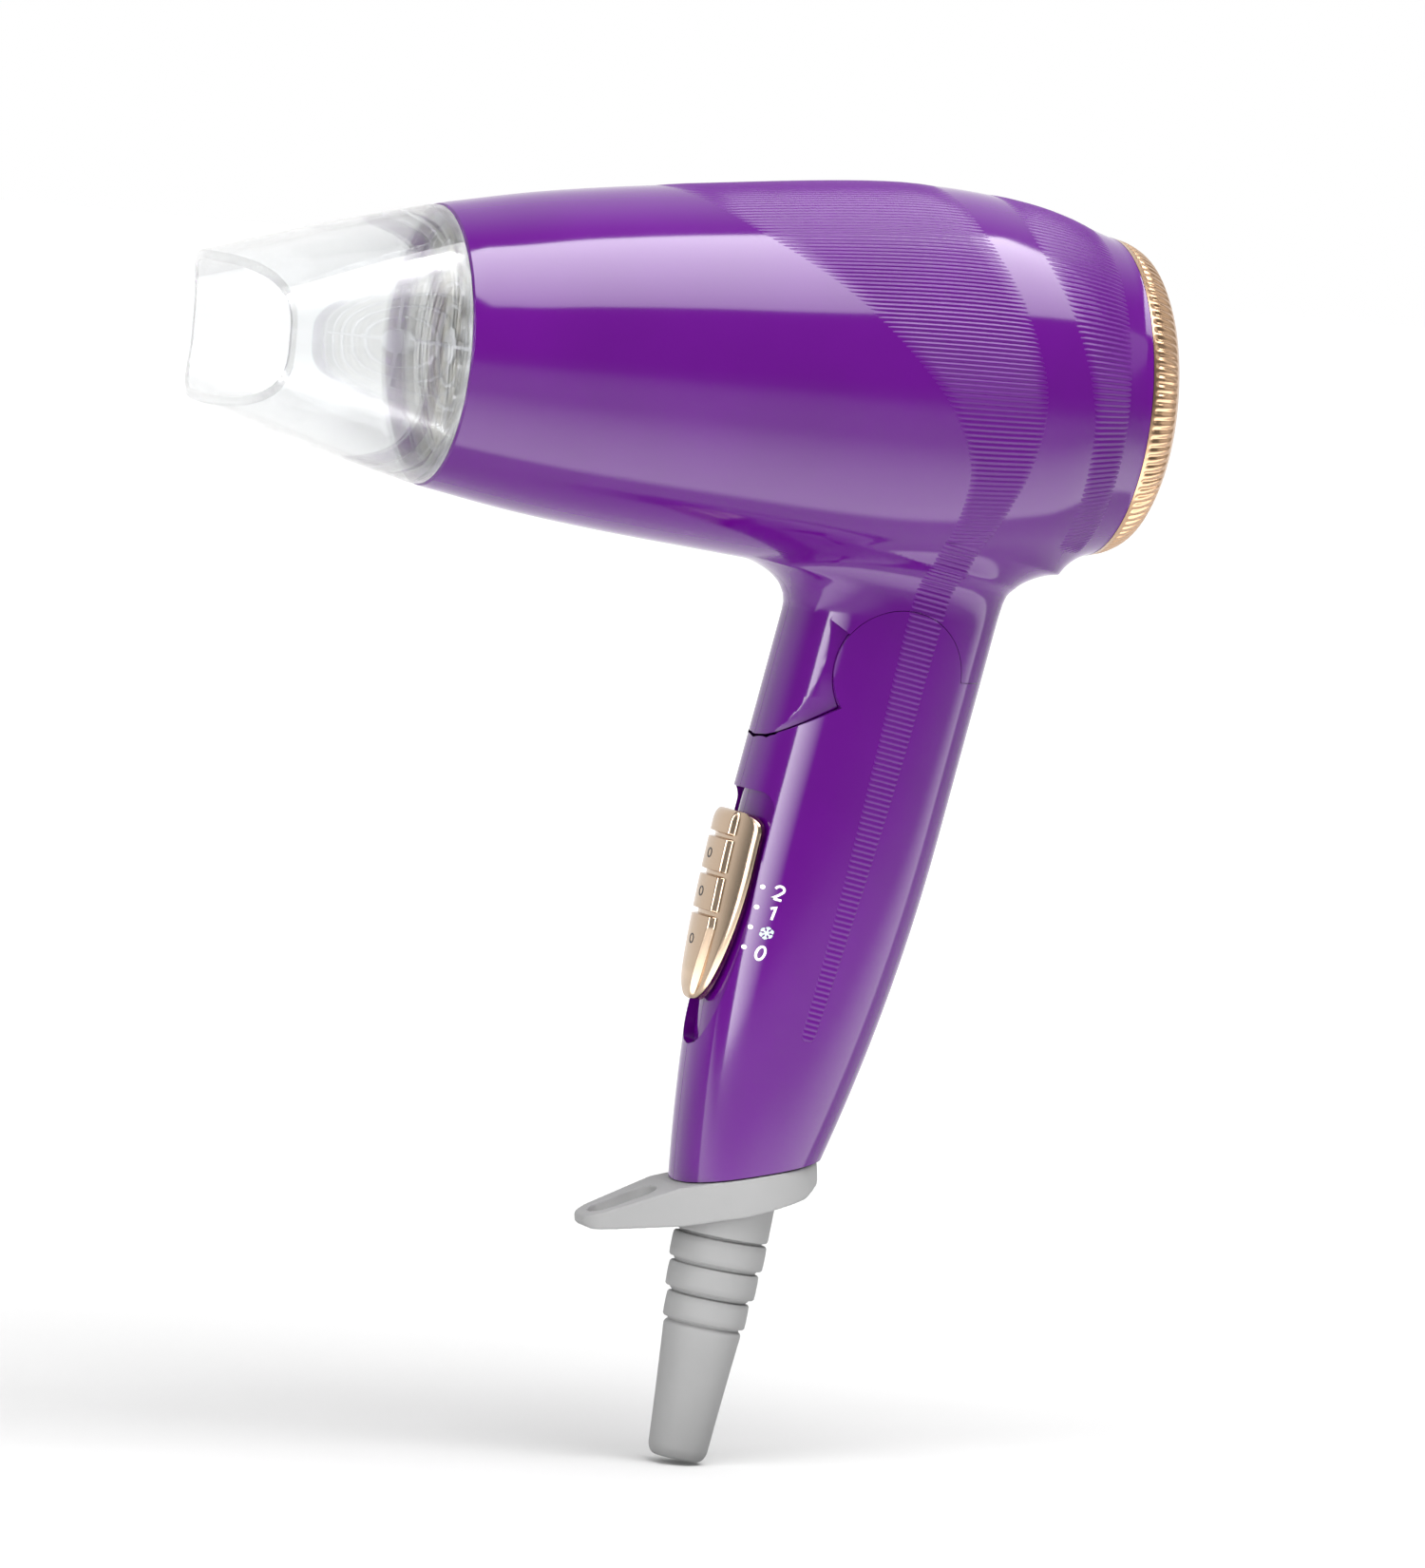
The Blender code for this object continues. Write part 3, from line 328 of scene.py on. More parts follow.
# The carried-over CAD nodes take the finish that belongs to their slot in the record
SLOT_FINISH = {"purple": "purple_gloss", "gold": "gold_satin"}
for subpart in frame["record"]["subparts"]:
    node = frame["nodes"].get(subpart["node"])
    if node is not None:
        finish = SLOT_FINISH.get(subpart["material_slot"], subpart["material_slot"])
        for slot in node.material_slots:
            slot.material = FINISHES[finish]

# ---------------------------------------------------------------- the casing's surface as a field


def flare(q, start, radius=8.0):
    rise = np.clip(q - start, 0.0, radius * 0.95)
    return radius - np.sqrt(radius**2 - rise**2)


def grip_depth(q):
    return GRIP_HALF_DEPTH - DEPTH_TAPER * np.maximum(0.0, GRIP_TAPER_FROM - q) ** 2


def grip_width(q):
    return GRIP_HALF_WIDTH - WIDTH_TAPER * np.maximum(0.0, GRIP_TAPER_FROM - q) ** 2


PROFILE = [(point.x, point.y) for point in smooth_through([(x, r, 0) for x, r in BARREL_STATIONS], 12)]
PROFILE_X, PROFILE_R = np.array(PROFILE).T
TILT = math.radians(HANDLE_TILT)


def barrel_radius(x):
    return np.interp(x, PROFILE_X, PROFILE_R)


def neck_sizes(q):
    """Front depth, back depth and half-width of the neck, with its flares into the barrel."""
    front = grip_depth(q) + 1.6 * flare(q, 64.8)
    back = grip_depth(q) + 1.6 * flare(q, 77.0)
    return front, back, grip_width(q) + 0.8 * flare(q, 72.0)


def distance(points, flared=True):
    """Signed distance, near the surface, to the barrel and neck blended together, or to the plain handle."""
    x, y, z = points[..., 0], points[..., 1], points[..., 2]
    p = x * math.cos(TILT) - z * math.sin(TILT)
    q = x * math.sin(TILT) + z * math.cos(TILT)
    if flared:
        front, back, width = neck_sizes(q)
    else:
        front, back, width = grip_depth(q), grip_depth(q), grip_width(q)
    depth = np.where(p > 0, back, front)
    u, v = np.abs(p) / depth + 1e-9, np.abs(y) / width + 1e-9
    g = (u**GRIP_POWER + v**GRIP_POWER) ** (1 / GRIP_POWER)
    slope = np.hypot((u / g) ** (GRIP_POWER - 1) / depth, (v / g) ** (GRIP_POWER - 1) / width)
    neck = (g - 1) / slope
    if not flared:
        return neck
    neck = np.maximum(neck, q - 92.0)
    barrel = np.hypot(y, z - BARREL_Z) - barrel_radius(x - MOUTH_X)
    near = np.maximum(BLEND - np.abs(barrel - neck), 0) / BLEND
    return np.minimum(barrel, neck) - near**2 * BLEND / 4


def gradient(points, flared=True):
    step = 0.05
    found = np.empty_like(points)
    for axis in range(3):
        shift = np.zeros(3)
        shift[axis] = step
        found[..., axis] = (distance(points + shift, flared) - distance(points - shift, flared)) / (2 * step)
    return found


def from_the_side(x, z, side, flared=True):
    """The casing's outermost point at each (x, z), seen from one side."""
    far = np.full(np.shape(x), 48.0)
    y = far.copy()
    for _ in range(60):
        gap = distance(np.stack([x, side * y, z], -1), flared)
        y = np.clip(y - 0.6 * gap, 0.0, 48.0)
    return side * y


def plane_to_world(p, q):
    return p * math.cos(TILT) + q * math.sin(TILT), -p * math.sin(TILT) + q * math.cos(TILT)


# ---------------------------------------------------------------- casing


def oval(q, front, back, width, count):
    ring = []
    for i in range(count):
        turn = 2 * math.pi * i / count
        c, s = math.cos(turn), math.sin(turn)
        depth = back if c > 0 else front
        x = math.copysign(depth * abs(c) ** (2 / GRIP_POWER), c)
        y = math.copysign(width * abs(s) ** (2 / GRIP_POWER), s)
        ring.append((x, y, q))
    return ring


def grip_rings(heights, inset, front_inset=None, count=128):
    front_inset = inset if front_inset is None else front_inset
    return [
        oval(q, grip_depth(q) - front_inset, grip_depth(q) - inset, grip_width(q) - inset, count) for q in heights
    ]


def steps_between(low, high, spacing):
    count = max(1, round((high - low) / spacing))
    return [low + (high - low) * i / count for i in range(count + 1)]


def neck_rings(inset, spacing, count=128):
    rings = []
    for q in steps_between(30, 90, spacing):
        front, back, width = neck_sizes(q)
        rings.append(oval(q, front - inset, back - inset, width - inset, count))
    return rings


def polar(angle, radius):
    turn = math.radians(angle)
    return (radius * math.cos(turn), PIVOT_Q + radius * math.sin(turn))


def tongue_half_width(radius):
    depth = min(radius * math.cos(math.radians(FRONT_SEAM - 180)) / GRIP_HALF_DEPTH, 1.0)
    flush = GRIP_HALF_WIDTH * (1 - depth**GRIP_POWER) ** (1 / GRIP_POWER)
    return flush - TONGUE_PINCH * (1 - (radius / TONGUE_RADIUS) ** 4)


def tongue_profile(gap):
    lobe = LOBE_RADIUS + SEAM_LINE / 2
    radii = [lobe + 2, 17.5, 20, 22.5, 24.5, 25.8, TONGUE_RADIUS]
    upper = [(radius + gap, tongue_half_width(radius) + gap) for radius in radii]
    half = [(0, CHEEK_INNER - 0.05), (lobe, CHEEK_INNER - 0.05), (lobe, tongue_half_width(lobe) + gap), *upper]
    return [*half, *[(radius, -z) for radius, z in reversed(half)]]


def handle_outline(gap):
    reach, bottom = 60.0, -70.0
    radius = LOBE_RADIUS + gap
    swing = math.degrees(gap / radius)
    lobe = arc((0, PIVOT_Q), radius, BACK_SEAM + swing, FRONT_SEAM - swing, 96)
    front, back = polar(FRONT_SEAM, reach), polar(BACK_SEAM, reach)
    return [(back[0], back[1] + gap), *lobe, (front[0], front[1] + gap), (-reach, bottom), (reach, bottom)]


def slider_half_width(s, grow, top, shoulder, tip):
    """Half the width of the shield shape at this height, rounded at the top corners and closing to the tip."""
    half, corner = SLIDER_HALF_WIDTH + grow, 3.0
    if s > top - corner:
        rise = min((s - top + corner) / corner, 1.0)
        return half - corner * (1 - math.sqrt(1 - rise**2))
    if s < shoulder:
        return half * math.cos(math.asin(min((shoulder - s) / (shoulder - tip), 1.0))) ** 0.8
    return half


def shield(grow, top, shoulder, tip):
    heights = [*steps_between(tip + 0.01, shoulder, 0.6), *steps_between(shoulder + 0.6, top - 3, 1.5)]
    heights += [top - 3 + 3 * math.sin(math.radians(a)) for a in range(10, 90, 10)]
    right = [(slider_half_width(s, grow, top, shoulder, tip), s) for s in heights]
    right.append((SLIDER_HALF_WIDTH + grow - 3, top))
    return [*right, *[(-y, s) for y, s in reversed(right)]]


def half_space(side, place=HANDLE):
    """The far half of space, less the fine gap along the casing's joint line."""
    return solid("cut_half", block((400, 60, 400), (0, -side * (30 - HALF_GAP), 0)), place)


def soften_crease(obj):
    """Blends the neck into the barrel: the mesh near their meeting line is split finer and moved onto the blend."""
    bm = bmesh.new()
    bm.from_mesh(obj.data)
    bmesh.ops.triangulate(bm, faces=bm.faces)

    def reach_of(verts):
        points = np.array([vert.co for vert in verts]) / MM
        x, y, z = points.T
        barrel = np.abs(np.hypot(y, z - BARREL_Z) - barrel_radius(x - MOUTH_X))
        apart = distance(points)
        return points, (apart < -1e-6) & (np.abs(apart) < BLEND) & (x > -60) & (x < 60) & (barrel < BLEND * 1.5)

    for _ in range(2):
        verts = list(bm.verts)
        _, near = reach_of(verts)
        chosen = {vert for vert, inside in zip(verts, near) if inside}
        edges = [e for e in bm.edges if (e.verts[0] in chosen or e.verts[1] in chosen) and e.calc_length() > 0.9 * MM]
        bmesh.ops.subdivide_edges(bm, edges=edges, cuts=1)
        bmesh.ops.triangulate(bm, faces=[face for face in bm.faces if len(face.verts) > 3])
    verts = list(bm.verts)
    points, near = reach_of(verts)
    moved = points[near]
    for _ in range(8):
        slope = gradient(moved)
        moved = moved - distance(moved)[:, None] * slope / (slope**2).sum(-1, keepdims=True)
    for vert, place in zip([vert for vert, inside in zip(verts, near) if inside], moved):
        vert.co = Vector(place) * MM
    bm.to_mesh(obj.data)
    bm.free()
    return obj


def casing_tools():
    tools = {
        "outline": solid("cut_outline", prism(handle_outline(0), 30), HANDLE),
        "clear": solid("cut_clear", prism(handle_outline(SEAM_LINE), 30), HANDLE),
    }
    slope = 0.42
    foot = [(-60, -40.1 - 60 * slope), (60, -40.1 + 60 * slope), (60, -90), (-60, -90)]
    tools["foot"] = solid("cut_foot", prism(foot, 30), HANDLE)
    cavity = solid("cut_cavity", loft(grip_rings(steps_between(-60, 90, 6), WALL, FRONT_WALL, 64)), HANDLE)
    cheeks = [
        solid("cut_cheek", rod(LOBE_RADIUS + 1, 10, (0, side * (CHEEK_INNER + 5), PIVOT_Q), "Y"), HANDLE)
        for side in (-1, 1)
    ]
    tools["cavity"] = combine(cavity, [("DIFFERENCE", cheek) for cheek in cheeks])
    swept = solid("cut_swept", revolve(tongue_profile(0.35), 128), FOLD_AXIS)
    below = [(0, PIVOT_Q), *arc((0, PIVOT_Q), 40, FRONT_SEAM - 12, FRONT_SEAM + FOLD_RANGE + 4, 24)]
    tools["sweep"] = combine(solid("cut_sweep", prism(below, 30), HANDLE), [("INTERSECT", swept)])
    tongue = solid("cut_tongue", revolve(tongue_profile(0), 128), FOLD_AXIS)
    sector = arc((0, PIVOT_Q), LOBE_RADIUS - 2, FRONT_SEAM + 10, FRONT_SEAM - FOLD_RANGE, 24)
    rim = arc((0, PIVOT_Q), TONGUE_RADIUS + 1.0, FRONT_SEAM - FOLD_RANGE, FRONT_SEAM + 10, 24)
    tools["pinch"] = combine(solid("cut_pinch", prism([*sector, *rim], 30), HANDLE), [("DIFFERENCE", tongue)])
    discard(swept, tongue, *cheeks)
    return tools


def copy_of(obj, name):
    twin = bpy.data.objects.new(name, obj.data.copy())
    bpy.context.scene.collection.objects.link(twin)
    return twin


def make_barrel(tools):
    body = [(r, x) for x, r in PROFILE if x >= 0.6]
    rim = barrel_radius(0.6)
    body = [(0, 0), (rim - 0.75, 0), (rim - 0.45, 0.06), (rim - 0.16, 0.25), *body]
    body += [(body[-1][0] - 0.35, 134.0), (0, 134.0)]
    whole = solid("barrel_whole", revolve(body, 160), AXIS)
    neck = solid("barrel_neck", loft(neck_rings(0, 1.5)), HANDLE)
    combine(whole, [("UNION", neck)])
    soften_crease(whole)
    inner = [(r - WALL, x) for x, r in PROFILE if x >= 1.2]
    lip = inner[0][0]
    inner = [(lip + 0.6, -1), (lip + 0.5, 0.02), (lip + 0.2, 0.4), *inner, (inner[-1][0], 135), (0, 135)]
    inner.insert(0, (0, -1))
    cavity = solid("cut_barrel", revolve(inner, 96), AXIS)
    neck_cavity = solid("cut_neck", loft(neck_rings(WALL, 5, 64)), HANDLE)
    rings = [
        solid("cut_ring", rod(LOBE_RADIUS + 2.2, 10, (0, side * (PLATE_INNER + 5.25), PIVOT_Q), "Y"), HANDLE)
        for side in (-1, 1)
    ]
    combine(neck_cavity, [("DIFFERENCE", ring) for ring in rings])
    cuts = [cavity, neck_cavity, tools["clear"], tools["pinch"]]
    combine(whole, [("DIFFERENCE", cutter) for cutter in cuts])
    thick = PLATE_OUTER - PLATE_INNER
    for name, side in (("left", -1), ("right", 1)):
        middle = (0, side * (PLATE_INNER + thick / 2), PIVOT_Q)
        plate = solid("plate", rod(PLATE_RADIUS, thick, middle, "Y", 96), HANDLE)
        bore = solid("bore", rod(PIN_RADIUS + 0.3, 6, (0, side * PLATE_INNER, PIVOT_Q), "Y"), HANDLE)
        far = half_space(side)
        shell = copy_of(whole, f"barrel_casing_{name}")
        combine(shell, [("UNION", plate), ("DIFFERENCE", bore), ("DIFFERENCE", far)])
        finished(shell, "purple_gloss", "barrel", [f"barrel_shell_{name}"])
        discard(plate, bore, far)
    discard(whole, neck, cavity, neck_cavity, *rings)


def make_handle(tools):
    whole = solid("handle_whole", loft(grip_rings(steps_between(-52, 72, 1.5), 0, count=160)), HANDLE)
    shoulder = SLIDER_SHOULDER - SLIDE_DOWN - 0.5
    shape = shield(0.8, SLIDER_TOP + SLIDE_UP + 0.5, shoulder, SLIDER_TIP - SLIDE_DOWN - 0.5)
    recess = solid("cut_recess", prism(shape, 14, "YZ", -8), SLIDER_MOUNT)
    floor = solid("cut_floor", loft(grip_rings(steps_between(-60, 60, 3), 2.0, count=96)), HANDLE)
    combine(recess, [("DIFFERENCE", floor)])
    room = solid("cut_room", rod(PLATE_RADIUS + 0.4, 2 * (CHEEK_INNER - 0.05), (0, 0, PIVOT_Q), "Y", 96), HANDLE)
    travel = block((20, 4.4, SLIDE_UP + SLIDE_DOWN + 5), (0, 0, (SLIDE_UP - SLIDE_DOWN) / 2))
    slot = solid("cut_slot", travel, SLIDER_MOUNT)
    combine(whole, [("INTERSECT", tools["outline"])])
    cuts = [tools["foot"], tools["cavity"], tools["sweep"], room, recess, slot]
    combine(whole, [("DIFFERENCE", cutter) for cutter in cuts])
    for name, side in (("left", -1), ("right", 1)):
        seat = solid("seat", rod(PIN_RADIUS + 0.3, 1.8, (0, side * (CHEEK_INNER + 0.85), PIVOT_Q), "Y"), HANDLE)
        far = half_space(side)
        shell = copy_of(whole, f"handle_casing_{name}")
        combine(shell, [("DIFFERENCE", seat), ("DIFFERENCE", far)])
        finished(shell, "purple_gloss", "handle", [f"handle_shell_{name}"])
        discard(seat, far)
    discard(whole, recess, floor, room, slot)


# ---------------------------------------------------------------- ribbed bands

RIB_PITCH, RIB_HEIGHT = 1.06, 0.2
# Front band: where its two edges lie, in mm from the mouth, at each angle above the barrel's side
BAND_ANGLES = (90, 70, 50, 25, 5, -8, -22, -35, -52)
BAND_FRONT = (41, 46, 55, 72.5, 85.5, 92.5, 96.8, 97.6, 97.4)
BAND_REAR = (98.5, 99.5, 102, 107.2, 110.8, 111.2, 110, 108, 105.8)
# Its run down the handle: its two edges in the handle's plane at each height up the handle
STRIP_Q = (89, 80, 63, 40, 7, -13.5)
STRIP_FRONT = (-3.0, -2.2, -2.0, -1.1, -0.3, -0.2)
STRIP_REAR = (6.2, 5.8, 5.2, 4.9, 3.6, 2.7)
REAR_ANGLES = (90, 55, 25, 5, -10, -35, -67, -90)
REAR_FRONT_EDGE = (108, 110, 115.8, 119.5, 121.2, 121.8, 122, 122)
REAR_EDGE = 129.3


def eased(x, xs, ys):
    """Smooth interpolation through a short list, along x."""
    points = smooth_through([(a, b, 0) for a, b in zip(xs, ys)], 12)
    a, b = np.array([point.x for point in points]), np.array([point.y for point in points])
    if a[0] > a[-1]:
        a, b = a[::-1], b[::-1]
    return np.interp(x, a, b)


def barrel_point(x, angle, side):
    radius = barrel_radius(x)
    turn = np.radians(angle)
    return np.stack([x + MOUTH_X, side * radius * np.cos(turn), BARREL_Z + radius * np.sin(turn)], -1)


def rib_sheet(rows, flared):
    """A closed sheet with ribs across it. rows is (path, across, 3) points on the casing's surface."""
    middle = rows[:, rows.shape[1] // 2]
    along = np.concatenate([[0], np.cumsum(np.linalg.norm(np.diff(middle, axis=0), axis=1))])
    normal = gradient(rows, flared)
    normal /= np.linalg.norm(normal, axis=-1, keepdims=True)
    wave = 0.5 - 0.5 * np.cos(2 * math.pi * along / RIB_PITCH)
    edge = np.minimum(np.linspace(0, 1, rows.shape[1]), np.linspace(1, 0, rows.shape[1]))
    rise = np.clip(edge * rows.shape[1] / 1.6, 0, 1)
    top = rows + normal * (-0.05 + (0.04 + RIB_HEIGHT * wave[:, None]) * rise[None, :])[..., None]
    under = rows - normal * 0.5
    return [[*map(tuple, a), *map(tuple, b[::-1])] for a, b in zip(top, under)]


def even_rows(make_point, start, end, spacing):
    """Parameters from start to end whose points lie this far apart."""
    fine = np.linspace(start, end, 800)
    points = make_point(fine)
    along = np.concatenate([[0], np.cumsum(np.linalg.norm(np.diff(points, axis=0), axis=1))])
    count = int(round(along[-1] / spacing))
    return np.interp(np.linspace(0, along[-1], count + 1), along, fine)


def front_band_rows(side, across=17):
    """The band from the top of the barrel down to where the neck meets it, then on down the neck and handle."""
    spacing = RIB_PITCH / 6
    share = np.linspace(0, 1, across)

    def on_barrel(angle, w):
        front, rear = eased(angle, BAND_ANGLES, BAND_FRONT), eased(angle, BAND_ANGLES, BAND_REAR)
        return barrel_point(front + (rear - front) * w, angle, side)

    def on_handle(q, w, flared):
        front, rear = eased(q, STRIP_Q, STRIP_FRONT), eased(q, STRIP_Q, STRIP_REAR)
        end = STRIP_Q[-1]
        rounding = np.clip((q - end) / 1.6, 0.03, 1.0)
        squeeze = np.sqrt(1 - (1 - rounding) ** 2)
        middle = (front + rear) / 2
        p = middle + (front + (rear - front) * w - middle) * squeeze
        x, z = plane_to_world(p, q)
        y = from_the_side(x, z, side, flared)
        return np.stack([x, y, z], -1)

    angles = even_rows(lambda a: on_barrel(a, 0.5), 89.8, -50, spacing)
    first = np.stack([on_barrel(angles, w) for w in share], 1)
    heights = even_rows(lambda q: on_handle(q, 0.5, True), 84.5, 69.0, spacing)
    second = np.stack([on_handle(heights, w, True) for w in share], 1)
    lower = even_rows(lambda q: on_handle(q, 0.5, False), 72.5, STRIP_Q[-1], spacing)
    third = np.stack([on_handle(lower, w, False) for w in share], 1)
    return first, second, third


def make_bands(tools):
    for name, side in (("left", -1), ("right", 1)):
        first, second, third = front_band_rows(side)
        gap_rows = np.linalg.norm(second[0, 8] - first[-1, 8]) / (RIB_PITCH / 6)
        shares = np.linspace(0, 1, max(3, int(gap_rows)))[1:-1]
        bridge = np.stack([first[-1] + (second[0] - first[-1]) * t for t in shares])
        rows = np.concatenate([first, bridge, second])
        for _ in range(4):
            slope = gradient(rows)
            rows = rows - distance(rows)[..., None] * slope / (slope**2).sum(-1, keepdims=True)
        upper = solid(f"ribbed_band_{name}", loft(rib_sheet(rows, True)))
        combine(upper, [("DIFFERENCE", tools["clear"])])
        finished(upper, "purple_ribbed", "barrel", angle=60)
        lower = solid(f"handle_ribs_{name}", loft(rib_sheet(third, False)))
        combine(lower, [("INTERSECT", tools["outline"])])
        finished(lower, "purple_ribbed", "handle", angle=60)

        def on_rear(angle, w):
            front = eased(angle, REAR_ANGLES, REAR_FRONT_EDGE)
            return barrel_point(front + (REAR_EDGE - front) * w, angle, side)

        angles = even_rows(lambda a: on_rear(a, 0.5), 89.8, -89.8, RIB_PITCH / 6)
        rows = np.stack([on_rear(angles, w) for w in np.linspace(0, 1, 11)], 1)
        rear = solid(f"rear_ribbed_band_{name}", loft(rib_sheet(rows, True)))
        finished(rear, "purple_ribbed", "barrel", angle=60)


# ---------------------------------------------------------------- slider


def make_slider():
    """The thumb slider: a shield-shaped plate with a spine down it, cut across into blocks."""
    grooves = (11.2, 3.9, -3.7)
    columns = 150

    def relief(s, y, half):
        """Height over the grip's surface."""
        near_edge = np.clip((half - np.abs(y)) / 1.3, 0, 1)
        plate = 0.15 + 0.95 * np.sqrt(1 - (1 - near_edge) ** 2)
        reach = np.clip((s - SLIDER_TIP) / 14.0, 0.0, 1.0)
        spine_half = 1.0 + 3.7 * math.sqrt(reach) if reach < 1 else 4.7
        wall = np.clip((spine_half + 0.35 - np.abs(y)) / 0.7, 0, 1)
        wall = wall * wall * (3 - 2 * wall)
        top_round = np.clip((SLIDER_TOP - s) / 2.6, 0, 1)
        tip_round = np.clip((s - SLIDER_TIP) / 6.0, 0, 1)
        ends = math.sqrt(1 - (1 - top_round) ** 2) * math.sqrt(1 - (1 - tip_round) ** 2)
        crown = 1.5 - 0.35 * (y / 4.7) ** 2
        cut = 1.0
        for groove in grooves:
            off = max(abs(s - groove) - 0.34, 0.0)
            cut = min(cut, min(off / 0.28, 1.0))
        return plate + wall * crown * ends * cut

    levels = set(np.round(steps_between(SLIDER_TIP + 0.03, SLIDER_TOP - 0.02, 0.22), 4))
    for groove in grooves:
        levels |= {round(groove + side * step, 4) for side in (-1, 1) for step in (0.3, 0.38, 0.46, 0.54, 0.62)}
    rings = []
    for s in sorted(levels):
        half = max(slider_half_width(s, 0, SLIDER_TOP, SLIDER_SHOULDER, SLIDER_TIP), 0.02)
        y = np.sin(np.linspace(-1, 1, columns) * math.pi / 2 * 0.92) / math.sin(math.pi / 2 * 0.92) * half
        q = np.full(columns, SLIDER_Q + s * math.cos(math.radians(SLIDER_TILT)))
        p = -grip_depth(q) * (1 - (np.abs(y) / grip_width(q)) ** GRIP_POWER) ** (1 / GRIP_POWER)
        x, z = plane_to_world(p, q)
        base = np.stack([x, y, z], -1)
        normal = gradient(base, False)
        normal /= np.linalg.norm(normal, axis=-1, keepdims=True)
        top = base + normal * relief(s, y, half)[:, None]
        under = base - normal * 0.85
        rings.append([*map(tuple, top), *map(tuple, under[::-1])])
    stem = solid("stem", block((8, 3.4, 3), (4.4, 0, 0)), SLIDER_MOUNT)
    button = solid("thumb_slider", loft(rings))
    combine(button, [("UNION", stem)])
    finished(button, "gold_satin", "slider", ["slider_button"], angle=50)
    discard(stem)


def ribbon(points, width, height, place_on):
    """A closed flat stroke along (u, v) points, laid on a surface that place_on gives as (point, normal)."""
    rings = []
    for i, point in enumerate(points):
        before, after = points[max(i - 1, 0)], points[min(i + 1, len(points) - 1)]
        along = Vector((after[0] - before[0], after[1] - before[1])).normalized()
        across = Vector((-along.y, along.x)) * width / 2
        ring = []
        for side, level in ((1, height), (-1, height), (-1, -0.15), (1, -0.15)):
            base, normal = place_on(point[0] + side * across.x, point[1] + side * across.y)
            ring.append(base + normal * level)
        rings.append(ring)
    return loft(rings)


def joined(name, parts):
    whole = bmesh.new()
    for part in parts:
        mesh = bpy.data.meshes.new("part")
        bmesh.ops.recalc_face_normals(part, faces=part.faces)
        part.to_mesh(mesh)
        whole.from_mesh(mesh)
        bpy.data.meshes.remove(mesh)
        part.free()
    return solid(name, whole)


def on_grip_side(p, q):
    x, z = plane_to_world(np.array([p]), np.array([q]))
    y = from_the_side(x, z, -1, False)
    point = np.stack([x, y, z], -1)
    normal = gradient(point, False)[0]
    return Vector(point[0]), Vector(normal).normalized()


def make_marks():
    """Four setting dots with plain numerals and a cold-air snowflake beside them, printed on the left of the grip."""
    loop = [(0.72 * math.cos(a), 1.28 * math.sin(a)) for a in np.linspace(0.5 * math.pi, 2.5 * math.pi, 29)]
    hook = [(0.78 * math.cos(a), 0.55 + 0.75 * math.sin(a)) for a in np.linspace(math.pi * 0.95, -0.3, 12)]
    two = [*hook, (0.1, -0.45), (-0.8, -1.25), (-0.3, -1.27), (0.9, -1.27)]
    one = [(-0.62, 0.72), (-0.2, 0.95), (0.2, 1.3), (0.2, 0.4), (0.2, -1.3)]
    flake = []
    for turn in (90, 30, 150):
        c, s = math.cos(math.radians(turn)), math.sin(math.radians(turn))
        flake.append([(-1.25 * c, -1.25 * s), (0, 0), (1.25 * c, 1.25 * s)])
        for end in (-1, 1):
            tip = Vector((0.75 * c, 0.75 * s)) * end
            for spread in (-50, 50):
                away = math.radians(turn + spread + (180 if end < 0 else 0))
                flake.append([tuple(tip), (tip.x + 0.5 * math.cos(away), tip.y + 0.5 * math.sin(away))])
    white, green = [], []
    first_p, first_q, pitch = -14.6, 12.8, 3.95
    lean = 0.09
    turns = np.linspace(0, 2 * math.pi, 21)[:-1]
    for i, strokes in enumerate(([two], [one], flake, [loop])):
        p, q = first_p - 0.05 * i, first_q - pitch * i
        disc = []
        for level, r in ((-0.15, 0.42), (0.04, 0.42), (0.06, 0.3)):
            spots = (on_grip_side(p + r * math.cos(a), q + r * math.sin(a)) for a in turns)
            disc.append([Vector(b) + n * level for b, n in spots])
        white.append(loft(disc))
        for stroke in strokes:
            placed = [(p + 2.85 + u + lean * v, q - 0.35 + v) for u, v in stroke]
            width = 0.3 if i == 2 else 0.44
            (green if i == 2 else white).append(ribbon(placed, width, 0.04, on_grip_side))
    finished(joined("setting_marks", white), "print_white", "handle")
    finished(joined("cold_air_mark", green), "print_green", "handle")


def make_slider_rings():
    """Three small raised rings down the face of the slider's spine."""

    def on_face(y, s):
        q = np.array([SLIDER_Q + s * math.cos(math.radians(SLIDER_TILT))])
        p = -grip_depth(q) * (1 - (abs(y) / grip_width(q)) ** GRIP_POWER) ** (1 / GRIP_POWER)
        x, z = plane_to_world(p, q)
        point = np.stack([x, np.array([y]), z], -1)
        normal = Vector(gradient(point, False)[0]).normalized()
        return Vector(point[0]) + normal * (2.58 - 0.35 * (y / 4.7) ** 2), normal

    rings = []
    for s in (7.5, 0.1, -9.0):
        circle = [(0.85 * math.cos(a), s + 0.85 * math.sin(a)) for a in np.linspace(0, 2 * math.pi, 25)]
        rings.append(ribbon(circle, 0.26, 0.08, on_face))
    finished(joined("slider_rings", rings), "black_plastic", "slider")


# ---------------------------------------------------------------- inlet, outlet and heater


